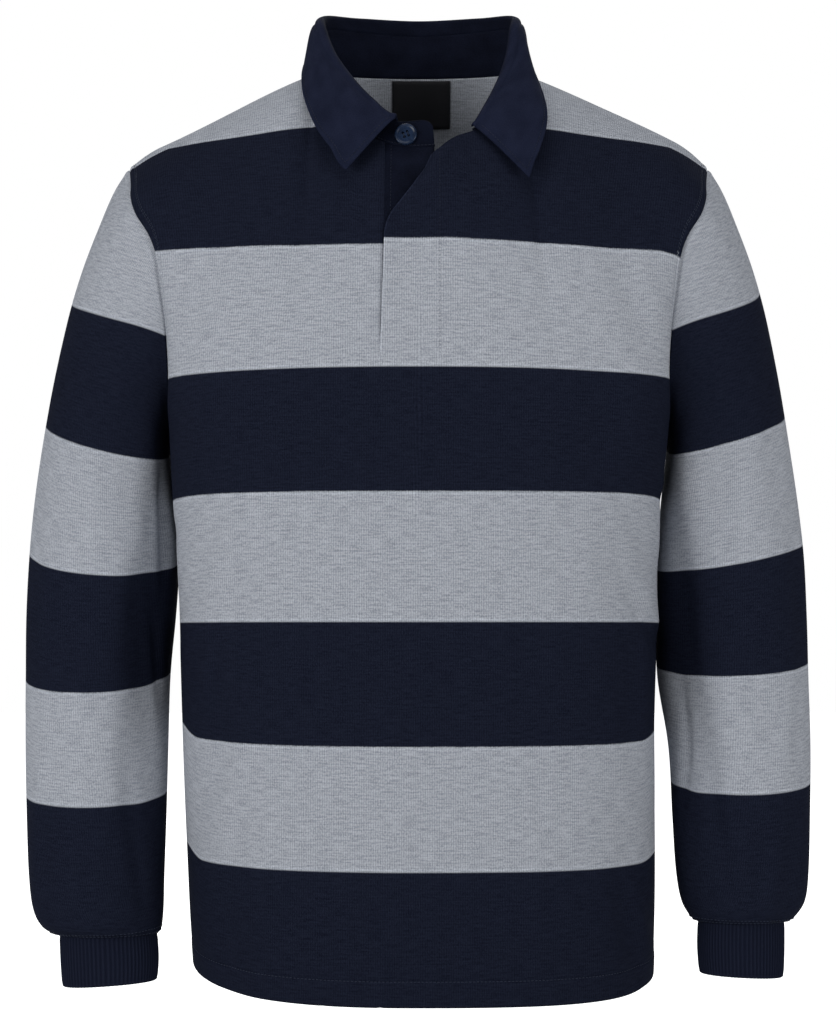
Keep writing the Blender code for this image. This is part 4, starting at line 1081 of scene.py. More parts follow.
def sew(name, lines, thread, pitch=3.0, length=2.4, thickness=0.55):
    """Lay stitches along lines, each an array of points with an array of outward directions."""
    edges, start = [], 0
    for points, _ in lines:
        edges += [(start + n, start + n + 1) for n in range(len(points) - 1)]
        start += len(points)
    mesh = bpy.data.meshes.new(name)
    mesh.from_pydata((np.concatenate([points for points, _ in lines]) * MM).tolist(), edges, [])
    mesh.attributes.new("out", "FLOAT_VECTOR", "POINT").data.foreach_set(
        "vector", np.concatenate([outs for _, outs in lines]).reshape(-1).astype(np.float32))
    piece = new_object(name, mesh)
    modifier = piece.modifiers.new("stitches", "NODES")
    modifier.node_group = stitch_tree
    named = {item.name: item.identifier for item in stitch_tree.interface.items_tree
             if item.in_out == "INPUT"}
    for label, value in (("Pitch", pitch * MM), ("Length", length * MM),
                         ("Thickness", thickness * MM), ("Thread", thread)):
        modifier[named[label]] = value
    laid = apply_modifiers(piece)
    laid.name = name
    laid.shade_smooth()
    if not laid.materials:
        laid.materials.append(thread)
    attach(piece, "root")


def grid_line(cloth, out, rows, columns=slice(None)):
    """A line of stitches along points of a grid."""
    return cloth[rows, columns] + out[rows, columns] * THREAD_LIFT, out[rows, columns]


def at_place(at, places, points):
    """The point of a line at a place along it, or a point for each of several places."""
    return np.stack([np.interp(at, places, points[:, n]) for n in range(3)], axis=-1)


def line_through(stations, lift=THREAD_LIFT):
    """A line of stitches; each station is a place, and a row's places, points and normals."""
    found = np.array([at_place(at, places, points) for at, places, points, _ in stations])
    outs = unit(np.array([at_place(at, places, outs) for at, places, _, outs in stations]))
    return found + outs * lift, outs


underarm_row = int(np.searchsorted(heights, 1.0))
hem_row = int(np.argmin(np.abs(heights * (UNDERARM_Z - HEM_Z) - HEM_TURN)))
last_row = len(heights) - 1
edge_row = int(np.searchsorted(centre_z, SECOND_EDGE_Z))


def sew_panel(name, cloth, out, distances):
    """Stitches along a panel's hem and armholes, with paler thread on the grey cloth."""
    navy, grey = [grid_line(cloth, out, hem_row)], []
    for side in (-1, 1):
        for offset in TOPSTITCH:
            stations = [(offset if side < 0 else distances[j, -1] - offset,
                         distances[j], cloth[j], out[j]) for j in range(last_row - 2)]
            navy.append(line_through(stations[edge_row:]))
            grey.append(line_through(stations[underarm_row + 1:edge_row], lift=0.0))
    sew(name + "_stitches", navy, navy_thread)
    sew(name + "_grey_stitches", grey, grey_thread, thickness=0.4)


sew_panel("front", front_cloth, front_out, distances)
beside = slice(left_columns, None)
sew("placket_stitches", [line_through([
    (PLACKET_SEAM_X + PLACKET_STITCH, front_cloth[j, beside, 0], front_cloth[j, beside],
     front_out[j, beside]) for j in range(slit_row, last_row - 4)], lift=0.0)],
    collar_thread, thickness=0.32)


# ---------------------------------------------------------------- back panel
# The same striped knit in one piece, from the hem to the back neck and the shoulder seams; it is
# sewn to the front down both sides and across the shoulders.
back_u_rows, back_x_rows, back_length = row_reader(BACK, heights)
back_middle = distance_at_x(back_x_rows, back_length, np.zeros(len(heights)))
neck_low = distance_at_u(back_u_rows, back_length, -NECK_SHARE)
neck_high = distance_at_u(back_u_rows, back_length, NECK_SHARE)
back_distances = np.concatenate([
    group_columns(side_low, neck_low, SIDE_CELLS, 0)[:, :-1],
    group_columns(neck_low, back_middle, NECK_CELLS)[:, :-1],
    group_columns(back_middle, neck_high, NECK_CELLS)[:, :-1],
    group_columns(neck_high, back_length[:, -1], SIDE_CELLS, 1)], axis=1)
back_u = u_at_distance(back_u_rows, back_length, back_distances)
back_base, back_out, form, thick, flat = lay_panel(
    BACK, back_u, np.broadcast_to(heights[:, None], back_u.shape), back_distances, back_middle)
back_cloth = back_base + back_out * form[..., None]
back_out = normals_of(back_cloth, np.array([0.0, BACK, 0.0]))
back_panel = cloth_wall("back_panel", back_cloth, back_out, thick, flat,
                        stripe=stripe_count(flat[..., 1], BODY_STRIPES))
back_panel.data.materials.append(striped_knit)
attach(back_panel, "root")
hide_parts("back")
sew_panel("back", back_cloth, back_out, back_distances)


# ---------------------------------------------------------------- sleeves
# Each sleeve is one piece of the striped knit, sewn into the armhole and down its inside, with
# its end gathered into the cuff.  Both hang straight and empty, rounded out by the air in them.
SleeveRow = namedtuple("SleeveRow", "inner_x inner_z outer_x outer_z mid_y half_depth")
ARM = (                             # the first row is the flat ring that stands for the armhole
    SleeveRow(199.5, -288, 236.0, -76, 2, 70),
    SleeveRow(201.8, -294, 248.0, -95, 4, 70),
    SleeveRow(202.6, -299, 259.5, -121, 7, 70),
    SleeveRow(202.6, -305, 272.0, -153, 10, 69),
    SleeveRow(202.0, -313, 282.5, -187, 13, 68),
    SleeveRow(200.7, -324, 291.0, -222, 16, 66.5),
    SleeveRow(199.0, -338, 298.5, -258, 18, 65),
    SleeveRow(197.4, -356, 305.5, -299, 20, 63),
    SleeveRow(195.6, -379, 311.8, -344, 21, 60.5),
)
FOREARM = {                         # the rest of each sleeve, gathered into its cuff at the end
    -1: (
        SleeveRow(195.8, -406, 316.2, -390, 21, 58),
        SleeveRow(197.8, -443, 318.5, -440, 19, 55.5),
        SleeveRow(201.0, -490, 318.0, -490, 13, 53),
        SleeveRow(201.5, -545, 316.3, -545, 2, 50),
        SleeveRow(202.0, -600, 313.7, -600, -8, 47),
        SleeveRow(203.0, -645, 311.0, -645, -14, 44.5),
        SleeveRow(203.3, -672, 307.0, -672, -18, 42.0),
        SleeveRow(204.5, -686, 299.5, -686, -20, 38.0),
        SleeveRow(207.0, -691.5, 289.5, -691.5, -21, 30.5),
        SleeveRow(208.5, -691.0, 285.0, -691.0, -21, 26.5),
    ),
    1: (
        SleeveRow(194.0, -406, 316.0, -390, 22, 58),
        SleeveRow(193.4, -443, 317.0, -440, 22, 55.5),
        SleeveRow(194.0, -490, 316.7, -490, 17, 53),
        SleeveRow(201.5, -545, 316.0, -545, 4, 50),
        SleeveRow(203.5, -600, 313.5, -600, -8, 47),
        SleeveRow(205.5, -640, 311.5, -640, -14, 44.5),
        SleeveRow(209.0, -664, 308.5, -664, -17, 41.5),
        SleeveRow(214.5, -676, 301.5, -676, -19, 37.5),
        SleeveRow(220.0, -681.5, 294.5, -681.5, -20, 30.0),
        SleeveRow(223.0, -681.0, 290.5, -681.0, -21, 26.0),
    ),
}
SLEEVE_SQUARENESS = 2.15
TUCK = 4.0                          # the outside of the +X sleeve lies closer by this much
TUCK_Z, TUCK_HALF_Z = -300, 135
ARMHOLE_FADE = (1.0, 0.74, 0.52, 0.34, 0.2, 0.1, 0.04, 0.0)
ArmFold = namedtuple("ArmFold", "turn z half_turn half_z depth")
ARM_FOLDS = (                       # turn runs round: 0 underarm, 0.25 front, 0.5 outside
    ArmFold(0.13, -430, 0.045, 95, -5.0),
    ArmFold(0.17, -560, 0.045, 80, -3.5),
    ArmFold(0.36, -640, 0.050, 45, -3.0),
    ArmFold(0.84, -430, 0.060, 90, -4.0),
    ArmFold(0.70, -600, 0.060, 80, -3.0),
)


def sleeve_ring(row, turn):
    """An even ring at a sleeve's row; turn runs from the underarm by the front and the outside."""
    face = np.where(turn <= 0.5, FRONT, BACK)
    angle = np.minimum(turn, 1 - turn) * 2 * math.pi
    along = ring_power(np.cos(angle), SLEEVE_SQUARENESS)
    depth = ring_power(np.sin(angle).clip(0), SLEEVE_SQUARENESS)
    x = (row["inner_x"] + row["outer_x"]) / 2 - (row["outer_x"] - row["inner_x"]) / 2 * along
    z = (row["inner_z"] + row["outer_z"]) / 2 - (row["outer_z"] - row["inner_z"]) / 2 * along
    return point(x, row["mid_y"] + face * row["half_depth"] * depth, z)


def row_at(rows, k):
    """A table's columns at places k, counted in its rows, as a dictionary of arrays."""
    values = smooth(range(len(rows)), [list(row) for row in rows], k)
    return {name: values[..., n] for n, name in enumerate(rows[0]._fields)}


def sleeve_points(side, k, turn):
    """A sleeve's cloth, as if on the +X side: k counts its rows from the armhole down."""
    k, turn = np.broadcast_arrays(np.asarray(k, float), np.asarray(turn, float))
    row = row_at(ARM + FOREARM[side], k)
    if side > 0:
        tuck = TUCK * bulge(row["outer_z"], TUCK_Z, TUCK_HALF_Z)
        row["outer_x"] = row["outer_x"] - tuck * np.minimum(k, 1)
    first = {name: np.full(k.shape, float(value)) for name, value in ARM[0]._asdict().items()}
    share = 2 * np.minimum(turn, 1 - turn)
    seam = np.where((turn <= 0.5)[..., None], armhole(FRONT, share), armhole(BACK, share))
    fade = np.interp(k, range(len(ARMHOLE_FADE)), ARMHOLE_FADE)
    found = sleeve_ring(row, turn)
    found = found + (seam - sleeve_ring(first, turn)) * fade[..., None]
    depth = np.zeros(k.shape)
    for fold in ARM_FOLDS:
        round_by = np.abs(turn - fold.turn)
        round_by = np.minimum(round_by, 1 - round_by) / fold.half_turn
        depth += fold.depth * np.exp(-round_by ** 2 - ((found[..., 2] - fold.z) / fold.half_z) ** 2)
    middle = point((row["inner_x"] + row["outer_x"]) / 2, row["mid_y"], found[..., 2])
    return found + unit(found - middle) * (depth * np.minimum(k, 1))[..., None]


# Heights of the stripe edges on each sleeve, with how far an edge falls from the inside of the
# row to its outside (tilt), and from the back to the front (droop).
SleeveEdge = namedtuple("SleeveEdge", "z tilt droop")
SLEEVE_EDGES = {
    -1: (
        SleeveEdge(-197.0, 11.6, 10.3),
        SleeveEdge(-297.0, 13.5, 12.0),
        SleeveEdge(-392.0, 5.3, 15.5),
        SleeveEdge(-487.8, -1.1, 13.7),
        SleeveEdge(-582.0, -0.5, 8.3),
    ),
    1: (
        SleeveEdge(-186.7, 12.6, 16.5),
        SleeveEdge(-290.5, 16.5, 12.0),
        SleeveEdge(-391.9, 11.5, 6.3),
        SleeveEdge(-478.7, 2.9, 8.8),
        SleeveEdge(-572.4, 1.0, 8.3),
    ),
}
# Creases of a sleeve.  A crease with a lean runs round the sleeve as it climbs, by the lean over
# LEAN_SCALE turns for each mm.
LEAN_SCALE = 300_000
ArmCrease = namedtuple("ArmCrease", "turn z half_turn half_z lean depth")
ARM_CREASES = {
    -1: (
        ArmCrease(0.10, -520, 0.070, 110, 0, -9.0),
        ArmCrease(0.13, -305, 0.050, 40, 0, 4.5),
        ArmCrease(0.15, -375, 0.030, 38, 0, 3.0),
        ArmCrease(0.082, -370, 0.018, 40, 60, -6.0),
        ArmCrease(0.16, -420, 0.024, 70, -60, -2.0),
        ArmCrease(0.07, -470, 0.018, 44, 220, -2.2),
        ArmCrease(0.22, -505, 0.030, 80, -90, -1.6),
        ArmCrease(0.14, -620, 0.022, 48, 120, -2.0),
        ArmCrease(0.30, -640, 0.026, 40, -160, -1.6),
        ArmCrease(0.42, -360, 0.030, 90, 60, -1.4),
        ArmCrease(0.38, -560, 0.026, 60, -120, 1.2),
        ArmCrease(0.90, -360, 0.022, 70, -150, -2.6),
        ArmCrease(0.84, -470, 0.024, 66, 130, -2.4),
        ArmCrease(0.76, -400, 0.026, 80, 90, -2.0),
        ArmCrease(0.68, -520, 0.028, 74, -140, -2.0),
        ArmCrease(0.60, -600, 0.024, 58, 120, -1.8),
        ArmCrease(0.88, -600, 0.022, 50, -160, -2.2),
        ArmCrease(0.56, -330, 0.026, 60, -80, -1.4),
        ArmCrease(0.72, -660, 0.020, 26, 200, -1.8),
    ),
    1: (
        ArmCrease(0.10, -530, 0.065, 95, 0, -9.5),
        ArmCrease(0.13, -330, 0.055, 60, 0, 7.0),
        ArmCrease(0.13, -440, 0.022, 64, -80, -1.2),
        ArmCrease(0.20, -470, 0.030, 70, 90, -1.4),
        ArmCrease(0.08, -545, 0.018, 50, 140, -2.4),
        ArmCrease(0.18, -600, 0.024, 52, -120, -1.8),
        ArmCrease(0.28, -640, 0.026, 36, 170, -1.6),
        ArmCrease(0.40, -420, 0.030, 84, -60, -1.4),
        ArmCrease(0.36, -300, 0.028, 60, 110, -1.2),
        ArmCrease(0.34, -540, 0.026, 60, 110, 1.2),
        ArmCrease(0.91, -374, 0.022, 64, -170, -2.4),
        ArmCrease(0.82, -450, 0.024, 70, 140, -2.6),
        ArmCrease(0.75, -540, 0.026, 70, -100, -2.0),
        ArmCrease(0.66, -400, 0.028, 80, 120, -1.8),
        ArmCrease(0.59, -560, 0.024, 60, -140, -2.0),
        ArmCrease(0.87, -620, 0.022, 46, 150, -2.2),
        ArmCrease(0.70, -650, 0.020, 28, -190, -1.8),
    ),
}
NEAR_ARMHOLE = (0.7, 1.5, 2.6, 3.9, 5.4, 7.2, 9.4, 12.0, 15.5)
NEAR_CUFF = (2.6, 5.2, 7.6, 9.6, 11.2, 12.6, 14.0, 15.4, 16.8, 18.2, 19.6, 21.0, 22.0)
FINE_ROWS, SPACING_TURN = 1801, 0.3
SLEEVE_SEAM_SINK, SLEEVE_SEAM_WIDTH = 0.7, 1.2
SLEEVE_SEAM_START, SLEEVE_SEAM_FADE = 2.0, 6.0
CROWN_SWELL = 0.6 * ALLOWANCE_SWELL
ARMHOLE_GAP = 0.2
CREASE_START, CREASE_END = 25.0, 18.0           # creases fade towards the armhole and the cuff
CUFF_LINES = (5.0, 8.4)             # two raised lines just above the cuff
CUFF_LINE_RAISE, CUFF_LINE_WIDTH = 0.5, 0.9


def sleeve_rows(side):
    """Row places k of the sleeve's mesh, by their distance down its outside."""
    fine = np.linspace(0, len(ARM) + len(FOREARM[side]) - 1, FINE_ROWS)
    length = line_lengths(sleeve_points(side, fine, np.full(len(fine), SPACING_TURN)))
    first, last = NEAR_ARMHOLE[-1], length[-1] - NEAR_CUFF[-1]
    even = np.linspace(first, last, round((last - first) / CELL) + 1)
    stops = [0.0, *NEAR_ARMHOLE, *even[1:], *(last + step for step in NEAR_CUFF)]
    return np.interp(stops, length, fine)


def sleeve_course(side, points, row):
    """Height of the knit's course on a sleeve: the stripes lie straight along it."""
    middle_x, half_x = (row["inner_x"] + row["outer_x"]) / 2, (row["outer_x"] - row["inner_x"]) / 2
    across = np.clip((np.abs(points[..., 0]) - middle_x) / half_x, -1, 1)
    front = np.clip((row["mid_y"] - points[..., 1]) / row["half_depth"], -1, 1)
    edges = SLEEVE_EDGES[side][::-1]
    keys = [edge.z for edge in edges]
    tilt = np.interp(points[..., 2], keys, [edge.tilt for edge in edges])
    droop = np.interp(points[..., 2], keys, [edge.droop for edge in edges])
    return points[..., 2] - tilt * across + droop * front


def armhole_edge(side, turns):
    """Edges of the front and back at an armhole, as if on the +X side, at a sleeve's turns."""
    shares = 2 * np.minimum(turns, 1 - turns)
    column = -1 if side > 0 else 0
    edges = [at_place(shares, heights[underarm_row:] - 1, cloth[underarm_row:, column])
             for cloth in (front_cloth, back_cloth)]
    at_front = np.where(turns < 0.5, 1.0, 0.0)
    at_front[(turns == 0) | (turns == 0.5)] = 0.5
    edge = edges[0] * at_front[:, None] + edges[1] * (1 - at_front[:, None])
    return edge * np.array([side, 1, 1])


def with_first(grid):
    """A grid of a tube, with its first column again at its end."""
    return np.concatenate([grid, grid[:, :1]], axis=1)


def make_sleeve(side, name, node):
    k = sleeve_rows(side)
    shares = np.array(seam_shares())
    turns = np.concatenate([shares / 2, 1 - shares[-2:0:-1] / 2])
    base = sleeve_points(side, k[:, None], turns[None, :])
    out = normals_of(base, base - base.mean(axis=1, keepdims=True), closed=True)
    down = along(base, 0)
    from_cuff = down[-1:] - down
    around = along(with_first(base), 1)
    from_seam = np.minimum(around[:, :-1], around[:, -1:] - around[:, :-1])
    form = np.zeros(base.shape[:2])
    for crease in ARM_CREASES[side]:
        away = np.mod(turns[None, :] - crease.turn + 0.5, 1) - 0.5
        climb = base[..., 2] - crease.z
        across = (away - climb * crease.lean / LEAN_SCALE) / crease.half_turn
        form += crease.depth * crease_form(across) * bulge(climb, 0, crease.half_z)
    form = form * ease(down / CREASE_START) * ease(from_cuff / CREASE_END)
    form -= SEAM_SINK * bulge(down, 0, SEAM_WIDTH)
    form += CROWN_SWELL * bulge(down, ALLOWANCE_PLACE, ALLOWANCE_WIDTH)
    for place in CUFF_LINES:
        form += CUFF_LINE_RAISE * bulge(from_cuff, place, CUFF_LINE_WIDTH)
    form -= SLEEVE_SEAM_SINK * bulge(from_seam, 0, SLEEVE_SEAM_WIDTH) * ease(
        (down - SLEEVE_SEAM_START) / SLEEVE_SEAM_FADE)
    cloth = base + out * form[..., None]
    cloth[0] = armhole_edge(side, turns) + unit(base[1] - base[0]) * ARMHOLE_GAP
    out = normals_of(cloth, out, closed=True)
    course = sleeve_course(side, base, row_at(ARM + FOREARM[side], k[:, None]))
    stripes = stripe_count(course, [edge.z for edge in SLEEVE_EDGES[side]])
    wale = around - around[:, len(turns) // 2][:, None]
    if side < 0:
        cloth, out = (points * np.array([-1, 1, 1]) for points in (cloth, out))
    piece = cloth_wall(name, cloth, out, KNIT, np.stack([wale, with_first(course)], axis=-1),
                       stripe=stripes, closed=True)
    piece.data.materials.append(striped_knit)
    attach(piece, "root")
    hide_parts(node)
    sew(name + "_stitches", [line_through([(-place, -from_cuff[:, i], cloth[:, i], out[:, i])
                                           for i in [*range(len(turns)), 0]])
                             for place in CUFF_LINES], navy_thread)


make_sleeve(-1, "left_sleeve", "sleeve_left")
make_sleeve(1, "right_sleeve", "sleeve_right")


# ---------------------------------------------------------------- cuffs
# A doubled tube of close navy rib sewn to the gathered end of each sleeve; its ribs stand out a
# little, and it narrows towards its open end.
CUFF = {
    -1: (
        SleeveRow(208.5, -691.6, 285.0, -691.6, -21.0, 26.5),
        SleeveRow(207.2, -711.0, 283.8, -713.0, -22.5, 26.8),
        SleeveRow(208.0, -727.5, 282.2, -732.5, -24.0, 26.0),
    ),
    1: (
        SleeveRow(223.0, -681.6, 290.5, -681.6, -21.0, 26.0),
        SleeveRow(222.3, -702.5, 290.2, -703.5, -22.5, 26.3),
        SleeveRow(223.5, -722.0, 289.2, -725.0, -24.0, 25.5),
    ),
}
CUFF_RIBS, RIB_COLUMNS = 72, 6
RIB_RAISE, RIB_CLOTH = 0.7, 2.0
RIB_ROUND = 0.8
CUFF_STEPS = (0.0, 0.02, 0.05, 0.09, 0.15, 0.23, 0.32, 0.42, 0.52, 0.62, 0.72, 0.81, 0.89, 0.94,
              0.975, 1.0)
CUFF_FADE, RIB_END = 0.13, 0.35     # over this share the ribs flatten, to this, towards both ends
RIB_KNIT = 1.1                      # mm from one wale, and from one course, to the next
RIB_STREAK = (0.3, 0.65, 0.5, 1.0)
RIB_DEPTH = 0.0003
RIB_DARK = (0.0075, 0.0095, 0.0205)
RIB_LIGHT = (0.0130, 0.0165, 0.0325)


def make_rib():
    material, wire, shader = new_material("navy_rib", 0.92, specular=0.04)
    knit = wire.place(jersey, wire.cloth_places(), Wale_mm=RIB_KNIT, Course_mm=RIB_KNIT)
    # Painted shade: the valleys between the ribs keep the darker navy, and only the rib tops take
    # the lighter.
    raised = wire.span(wire.share("stripe"), 0.0, 1.0)
    streak = wire.span(knit.outputs["Streak"], *RIB_STREAK)
    colour = wire.mix(wire.times(raised, streak), RIB_DARK, RIB_LIGHT)
    wire.feed_named(shader, Base_Color=wire.shade(colour, knit.outputs["Shade"]),
                    Normal=wire.bump(knit.outputs["Loops"], RIB_DEPTH))
    return material


navy_rib = make_rib()


def make_cuff(side, name, node):
    share = np.array(CUFF_STEPS)[:, None]
    row = row_at(CUFF[side], share * (len(CUFF[side]) - 1))
    middle_x, half_x = (row["inner_x"] + row["outer_x"]) / 2, (row["outer_x"] - row["inner_x"]) / 2
    count = CUFF_RIBS * RIB_COLUMNS
    angle = 2 * math.pi * np.arange(count)[None, :] / count
    wave = 0.5 - 0.5 * np.cos(angle * CUFF_RIBS)
    full = ease(share / CUFF_FADE) * ease((1 - share) / CUFF_FADE)
    raised = wave ** RIB_ROUND * RIB_RAISE * (RIB_END + (1 - RIB_END) * full)
    x = middle_x - (half_x + raised) * ring_power(np.cos(angle), SLEEVE_SQUARENESS)
    y = row["mid_y"] - (row["half_depth"] + raised) * ring_power(np.sin(angle), SLEEVE_SQUARENESS)
    level = (x - row["inner_x"]) / (2 * half_x)
    cloth = point(side * x, y, row["inner_z"] + (row["outer_z"] - row["inner_z"]) * level)
    away = unit(cloth - point(side * middle_x, row["mid_y"], cloth[..., 2]))
    flat = np.stack([along(with_first(cloth), 1), -with_first(along(cloth, 0))], axis=-1)
    piece = cloth_wall(name, cloth, away, RIB_CLOTH + raised, flat,
                       stripe=wave * np.ones_like(share), closed=True)
    piece.data.materials.append(navy_rib)
    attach(piece, "root")
    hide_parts(node)


make_cuff(-1, "left_cuff", "cuff_left")
make_cuff(1, "right_cuff", "cuff_right")


# ---------------------------------------------------------------- under placket
# A strip of navy cloth sewn behind the left edge of the slit; it carries the button's side of the
# opening and shows as a dark wedge where the upper placket rolls away.
UNDER_RIGHT_X = 12.0
UNDER_CELLS = 16
UNDER_GAP = 0.1
UNDER_STITCH = 2                    # the column that its stitches run along
TWILL_RIB, WEAVE_SLANT = 0.55, 1.2
DYE_GRAIN, YARN_GRAIN = (45, 60, 1), (700, 1100, 1)
WEAVE_SPAN = (0.3, 0.7)
TWILL_ROUGHNESS = (0.9, 0.78)
TWILL_DEPTH = 0.00012
# Darker navy of the band, the under placket and the collar's inside: partly the cloth's own colour
# and partly painted shade of the inside of the neck.
FACING_AND_SHADE_DARK = (0.0014, 0.0024, 0.0075)
FACING_AND_SHADE_LIGHT = (0.0046, 0.0068, 0.0180)


def make_twill_group():
    """Close slanting ribs, TWILL_RIB mm apart, with slightly uneven dyeing."""
    group, given, result = new_group("twill_weave", (("Cloth", None), ("Rib mm", TWILL_RIB)),
                                     ("Shade", "Ribs"))
    wire = Wiring(group)
    cloth = given.outputs["Cloth"]
    parts = wire.new("ShaderNodeSeparateXYZ", {0: cloth})
    slant = wire.add(parts.outputs[0], wire.times(parts.outputs[1], WEAVE_SLANT))
    ribs = wire.math("DIVIDE", wire.times(slant, 1000.0), given.outputs["Rib mm"])
    broad = wire.grain(cloth, DYE_GRAIN)
    fine = wire.grain(cloth, YARN_GRAIN)
    wire.feed_named(result, Shade=wire.add(wire.times(broad, 0.45), wire.times(fine, 0.55)),
                    Ribs=wire.ridges(ribs))
    return group


twill = make_twill_group()


def make_twill(name, dark, light, faced=False):
    material, wire, shader = new_material(name, 0.85, specular=0.08)
    weave = wire.place(twill, wire.cloth_places())
    shade = wire.span(weave.outputs["Shade"], *WEAVE_SPAN)
    colour = wire.mix(shade, dark, light)
    if faced:
        # On the collar's inside, under its fold, the darker facing colour is painted shade.
        colour = wire.mix(wire.share("inside"), colour, wire.mix(shade, FACING_AND_SHADE_DARK, FACING_AND_SHADE_LIGHT))
    wire.feed_named(shader, Base_Color=colour,
                    Roughness=wire.span(weave.outputs["Shade"], *WEAVE_SPAN, *TWILL_ROUGHNESS),
                    Normal=wire.bump(weave.outputs["Ribs"], TWILL_DEPTH))
    return material


navy_facing = make_twill("navy_facing", FACING_AND_SHADE_DARK, FACING_AND_SHADE_LIGHT)
rows = slice(slit_row, None)
under_low = edge_x(SLIT_EDGE, centre_z[rows]) + SEAM_GAP
share = np.linspace(0, 1, UNDER_CELLS + 1)[None, :]
under_x = under_low[:, None] + (UNDER_RIGHT_X - under_low)[:, None] * share
under_u = u_at_distance(row_u, row_x[rows], under_x)
under_height = np.broadcast_to(heights[rows, None], under_u.shape)
under_base = body_points(FRONT, under_u, under_height)
under_out = normals_of(under_base, np.array([0.0, FRONT, 0.0]))
sink = LAP * (1 - ease((under_height - SLIT_HEIGHT) / LAP_RISE)) + UNDER_GAP
under_cloth = (under_base + np.array([0, FRONT * SEAM_GAP / 2, 0])
               - under_out * sink[..., None])
under_placket = cloth_wall("under_placket", under_cloth, under_out, KNIT, np.stack(
    [under_x, along(under_cloth, 0)], axis=-1))
under_placket.data.materials.append(navy_facing)
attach(under_placket, "root")
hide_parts("placket_under")
sew("under_stitches", [grid_line(under_cloth, under_out, slice(None, -3), UNDER_STITCH)],
    collar_thread, thickness=0.35)


# ---------------------------------------------------------------- collar band
# A stand of navy twill sewn round the neck seam, 30 mm high at the back; its left end is rounded
# and buttons over, and the collar's fold rises from its top edge.
CollarRow = namedtuple("CollarRow", "sweep fold_x fold_y fold_z edge_x edge_y edge_z")
COLLAR = (                          # sweep runs from the front, past -X, the back and +X
    CollarRow(-8, 11, -81, -46, -30, -104, -92),
    CollarRow(12, -17, -79, -47.5, -56, -103, -93.5),
    CollarRow(34, -34, -64, -33, -69, -92, -74),
    CollarRow(56, -51, -43, -11, -82, -76, -53),
    CollarRow(74, -66.5, -21, 15, -92, -46, -24),
    CollarRow(92, -76, 4, 41, -94, -4, 4.5),
    CollarRow(115, -76.5, 28, 55, -86, 40, 8),
    CollarRow(145, -50, 57, 60, -56, 77, 6),
    CollarRow(180, 0, 68, 60, 0, 88, 3),
    CollarRow(215, 50, 57, 60, 56, 77, 6),
    CollarRow(245, 76.5, 28, 55, 86, 40, 8),
    CollarRow(268, 75, 4, 41, 92, -4, 4.5),
    CollarRow(286, 70.5, -17, 14, 100, -42, -25),
    CollarRow(304, 62, -37, -12, 101, -70, -52),
    CollarRow(327, 42.5, -72, -53, 86, -98, -99),
)
BAND_START, LEAF_START, COLLAR_END = -9.0, 12.0, 327.0
LEAF_RISE_FRONT = 5.0               # how far the collar stands above the band before it folds
LEAF_RISE_BACK = 15.0
BAND_END_RADIUS = 11.0
BAND_END_SHARE = 0.4                # share of its height that is left at its ends, at the least
BAND_CLOTH = 1.8
BAND_CELLS = 14
BAND_STITCH = 2.2                   # distance of its stitches from its edges
BAND_SWELL, BAND_SWELL_UP, BAND_SWELL_WIDTH = 0.25, 1.0, 0.8
BAND_SINK, BAND_SINK_WIDTH = 0.3, 0.7
BAND_END_STEPS = (0.0, 0.12, 0.3, 0.55, 0.9, 1.35, 1.9, 2.6, 3.4, 4.4, 5.6, 7.0)
SWEEP_STEP = 2.0


def collar_station(sweep):
    """Base, top of the band, fold, edge, and the directions up and out at each sweep."""
    row = read(COLLAR, "sweep", sweep)
    base = open_neck(sweep)
    fold = point(row["fold_x"], row["fold_y"], row["fold_z"])
    edge = point(row["edge_x"], row["edge_y"], row["edge_z"])
    up = unit(fold - base)
    share = np.sin(np.radians(sweep) / 2) ** 2
    rise = LEAF_RISE_FRONT + (LEAF_RISE_BACK - LEAF_RISE_FRONT) * share
    rise = np.minimum(rise, np.linalg.norm(fold - base, axis=-1) * 0.5)
    turn = np.radians(sweep)
    outward = point(-np.sin(turn), -np.cos(turn), 0 * turn)
    outward = unit(outward - up * np.sum(outward * up, axis=-1, keepdims=True))
    return base, fold - up * rise[..., None], fold, edge, up, outward


def sweeps(start, steps):
    """Sweeps round the collar, closer together at both ends."""
    steps = np.array(steps)
    between = np.arange(start + steps[-1] + SWEEP_STEP, COLLAR_END - steps[-1] - 1, SWEEP_STEP)
    return np.concatenate([start + steps, between, (COLLAR_END - steps)[::-1]])


base, band_top, fold, edge, up, outward = collar_station(sweeps(BAND_START, BAND_END_STEPS))
from_end = np.minimum(np.linalg.norm(base - base[0], axis=1),
                      np.linalg.norm(base - base[-1], axis=1))
rounding = np.minimum(from_end / BAND_END_RADIUS, 1)
lost = (1 - np.sqrt(np.maximum(1 - (1 - rounding) ** 2, 0))) * BAND_END_RADIUS
bottom = base + up * SEAM_GAP
full = np.linalg.norm(band_top - bottom, axis=1)
band_height = np.maximum(full - lost, full * BAND_END_SHARE)
share = np.linspace(0, 1, BAND_CELLS + 1)
band_up = band_height[:, None] * share
band_form = (BAND_SWELL * bulge(band_up, BAND_SWELL_UP, BAND_SWELL_WIDTH)
             - BAND_SINK * bulge(band_up, BAND_STITCH, BAND_SINK_WIDTH))
band_cloth = bottom[:, None] + up[:, None] * band_up[..., None]
band_cloth = band_cloth + outward[:, None] * band_form[..., None]
band_out = np.broadcast_to(outward[:, None], band_cloth.shape)
collar_band = cloth_wall("collar_band_cloth", band_cloth, band_out, BAND_CLOTH, np.stack(
    [along(band_cloth, 0), band_up], axis=-1))
collar_band.data.materials.append(navy_facing)
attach(collar_band, "root")
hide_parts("collar_band")
sew("band_stitches", [grid_line(band_cloth, band_out, slice(3, -3), 1)],
    collar_thread)


